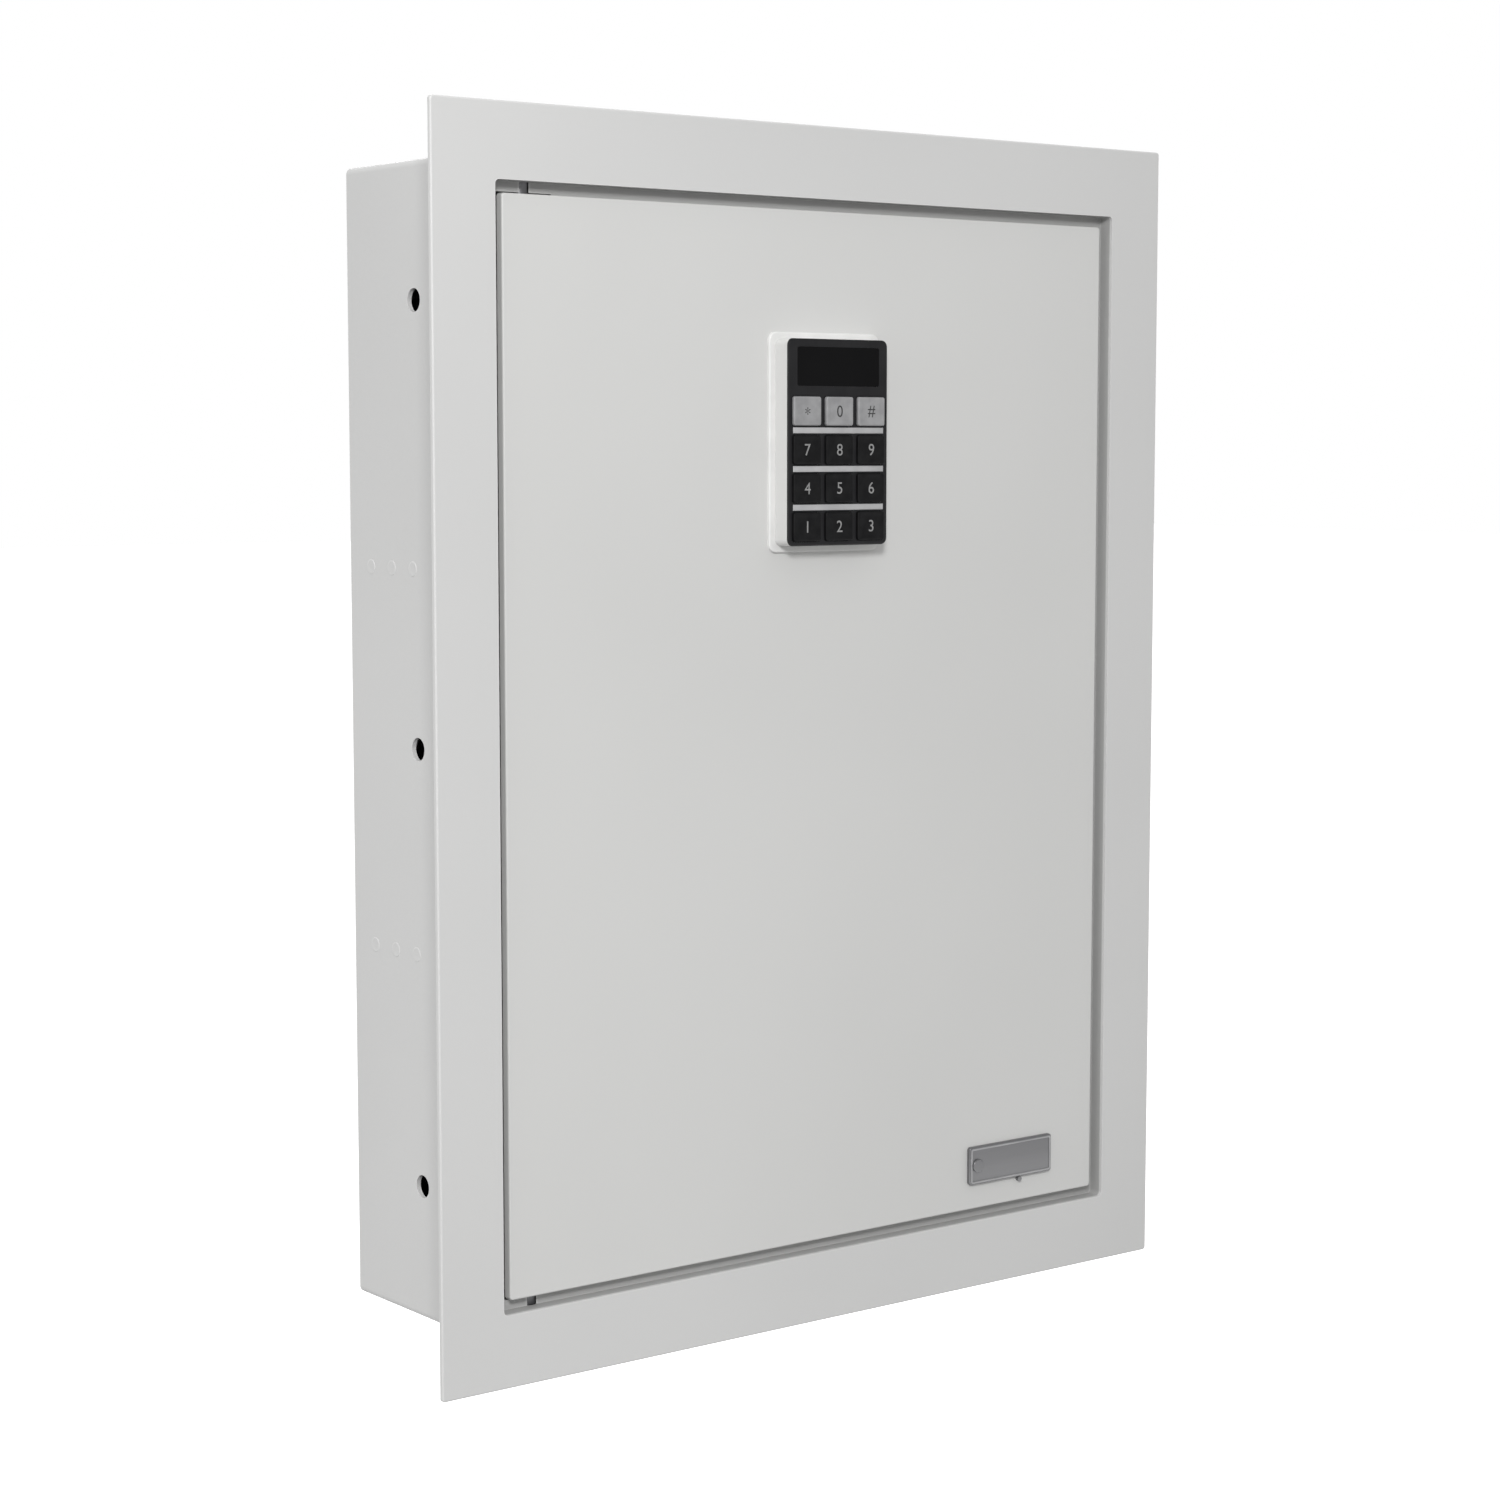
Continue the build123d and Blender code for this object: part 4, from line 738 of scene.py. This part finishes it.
pick(sleeve_film, lambda centre, normal: abs(normal.z) > 0.999)
bpy.ops.mesh.inset(thickness=FILM_LAP)
bpy.ops.mesh.delete(type="FACE")
bpy.ops.object.mode_set(mode="OBJECT")
walls = sleeve_film.modifiers.new("film", "SOLIDIFY")
walls.thickness = FILM * 0.8
walls.offset = -1.0
apply_modifiers(sleeve_film)
bpy.ops.object.shade_smooth_by_angle(angle=radians(50))
deselect()
bpy.ops.mesh.primitive_cylinder_add(vertices=48, radius=cell_r + FILM * 1.6, depth=BAND_LONG,
                                    location=(0, 0, HALF_CELL - BAND_FROM_END - BAND_LONG / 2))
band = bpy.context.object
bpy.ops.object.transform_apply(location=True)
pick(band, lambda centre, normal: abs(normal.z) > 0.9)
bpy.ops.mesh.delete(type="FACE")
bpy.ops.object.mode_set(mode="OBJECT")
walls = band.modifiers.new("print", "SOLIDIFY")
walls.thickness = FILM
walls.offset = -1.0
apply_modifiers(band)
bpy.ops.object.shade_smooth_by_angle(angle=radians(50))
cell_places = []
for number in range(4):
    turn = Matrix.Rotation(pi if number % 2 == 0 else 0.0, 4, "X")
    cell_places.append(Matrix.Translation(((number - 1.5) * CELL_STEP, cell_y, cell_z)) @ turn)
for piece, name, finish in ((sleeve_film, "cell_film", film), (band, "cell_band", band_print)):
    for number, copy in enumerate(copies(piece, cell_places)):
        settle(copy, f"{name}_{number + 1}", finish)
        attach(copy, "door")

# ---- The reset button ----
# Red moulded cap, polished in the mould, a little worn on top by fingers.
red = new_finish("button_red", ((0.36, 0.012, 0.01), (0.46, 0.022, 0.018)),
                 300.0, (0.2, 0.34), 3000.0, 0.00001)
coat(red, "reset_button")

# ---- The studio ----
# A pale floor well below the safe, which hangs free as it is shown. White light grows from the sky's low
# end to its high one, where -1 is straight down and 1 straight up. A soft lamp high in front, a weak one on
# the left and one behind give the sheet metal its form.
FLOOR_DROP = 0.35
LIGHT_FROM_ABOVE = 0.86
LIGHT_FROM_BELOW = 0.26
LOW_END = -0.6
HIGH_END = 0.8
CAMERA_PLACE = (-0.8635, -1.0701, 0.1278)
CAMERA_LOOKS = (0.6064, 0.7892, -0.0978)
CAMERA_LENS = 74.4
deselect()
floor_z = cad_box[0].z - FLOOR_DROP
bpy.ops.mesh.primitive_plane_add(size=40.0, location=(0, 0, floor_z))
floor = bpy.context.object
floor.name = "floor"
white = new_finish("floor_white", ((0.90, 0.90, 0.90), (0.92, 0.92, 0.92)), 2.0, (0.7, 0.8), 20.0, 0.0001,
                   Emission_Color=(1.0, 1.0, 1.0, 1.0), Emission_Strength=0.55)
floor.data.materials.append(white)
floor.visible_diffuse = False

sky = bpy.data.worlds.new("studio")
bpy.context.scene.world = sky
sky.use_nodes = True
sky_nodes = sky.node_tree.nodes
sky_links = sky.node_tree.links
way = sky_nodes.new("ShaderNodeSeparateXYZ")
sky_links.new(sky_nodes.new("ShaderNodeTexCoord").outputs["Generated"], way.inputs["Vector"])
height = sky_nodes.new("ShaderNodeMapRange")
height.inputs["From Min"].default_value = LOW_END
height.inputs["From Max"].default_value = HIGH_END
height.inputs["To Min"].default_value = LIGHT_FROM_BELOW
height.inputs["To Max"].default_value = LIGHT_FROM_ABOVE
sky_links.new(way.outputs["Z"], height.inputs["Value"])
shown = sky_nodes.new("ShaderNodeMath")
shown.operation = "MAXIMUM"
sky_links.new(height.outputs["Result"], shown.inputs[0])
sky_links.new(sky_nodes.new("ShaderNodeLightPath").outputs["Is Camera Ray"], shown.inputs[1])
sky_links.new(shown.outputs["Value"], sky_nodes["Background"].inputs["Strength"])
sky_nodes["Background"].inputs["Color"].default_value = (1.0, 1.0, 1.0, 1.0)
bpy.context.scene.view_settings.view_transform = "Standard"


def lamp(name, place, aim, size, power):
    """A square soft lamp that points at aim."""
    bpy.ops.object.light_add(type="AREA", location=place)
    light = bpy.context.object
    light.name = name
    light.data.size = size
    light.data.energy = power
    light.rotation_mode = "QUATERNION"
    light.rotation_quaternion = (Vector(aim) - Vector(place)).to_track_quat("-Z", "Y")


lamp("key_lamp", (-0.95, -1.25, 0.7), (0, 0, -0.05), 0.3, 17.2)
lamp("side_lamp", (-1.8, -0.1, 0.4), (0, 0, 0), 0.8, 4.2)
lamp("back_lamp", (0.8, 1.7, 0.7), (0, 0, 0), 1.0, 13.0)

bpy.ops.object.camera_add(location=CAMERA_PLACE)
camera = bpy.context.object
camera.rotation_mode = "QUATERNION"
camera.rotation_quaternion = Vector(CAMERA_LOOKS).to_track_quat("-Z", "Y")
camera.data.lens = CAMERA_LENS
camera.data.clip_start = 0.01
bpy.context.scene.camera = camera
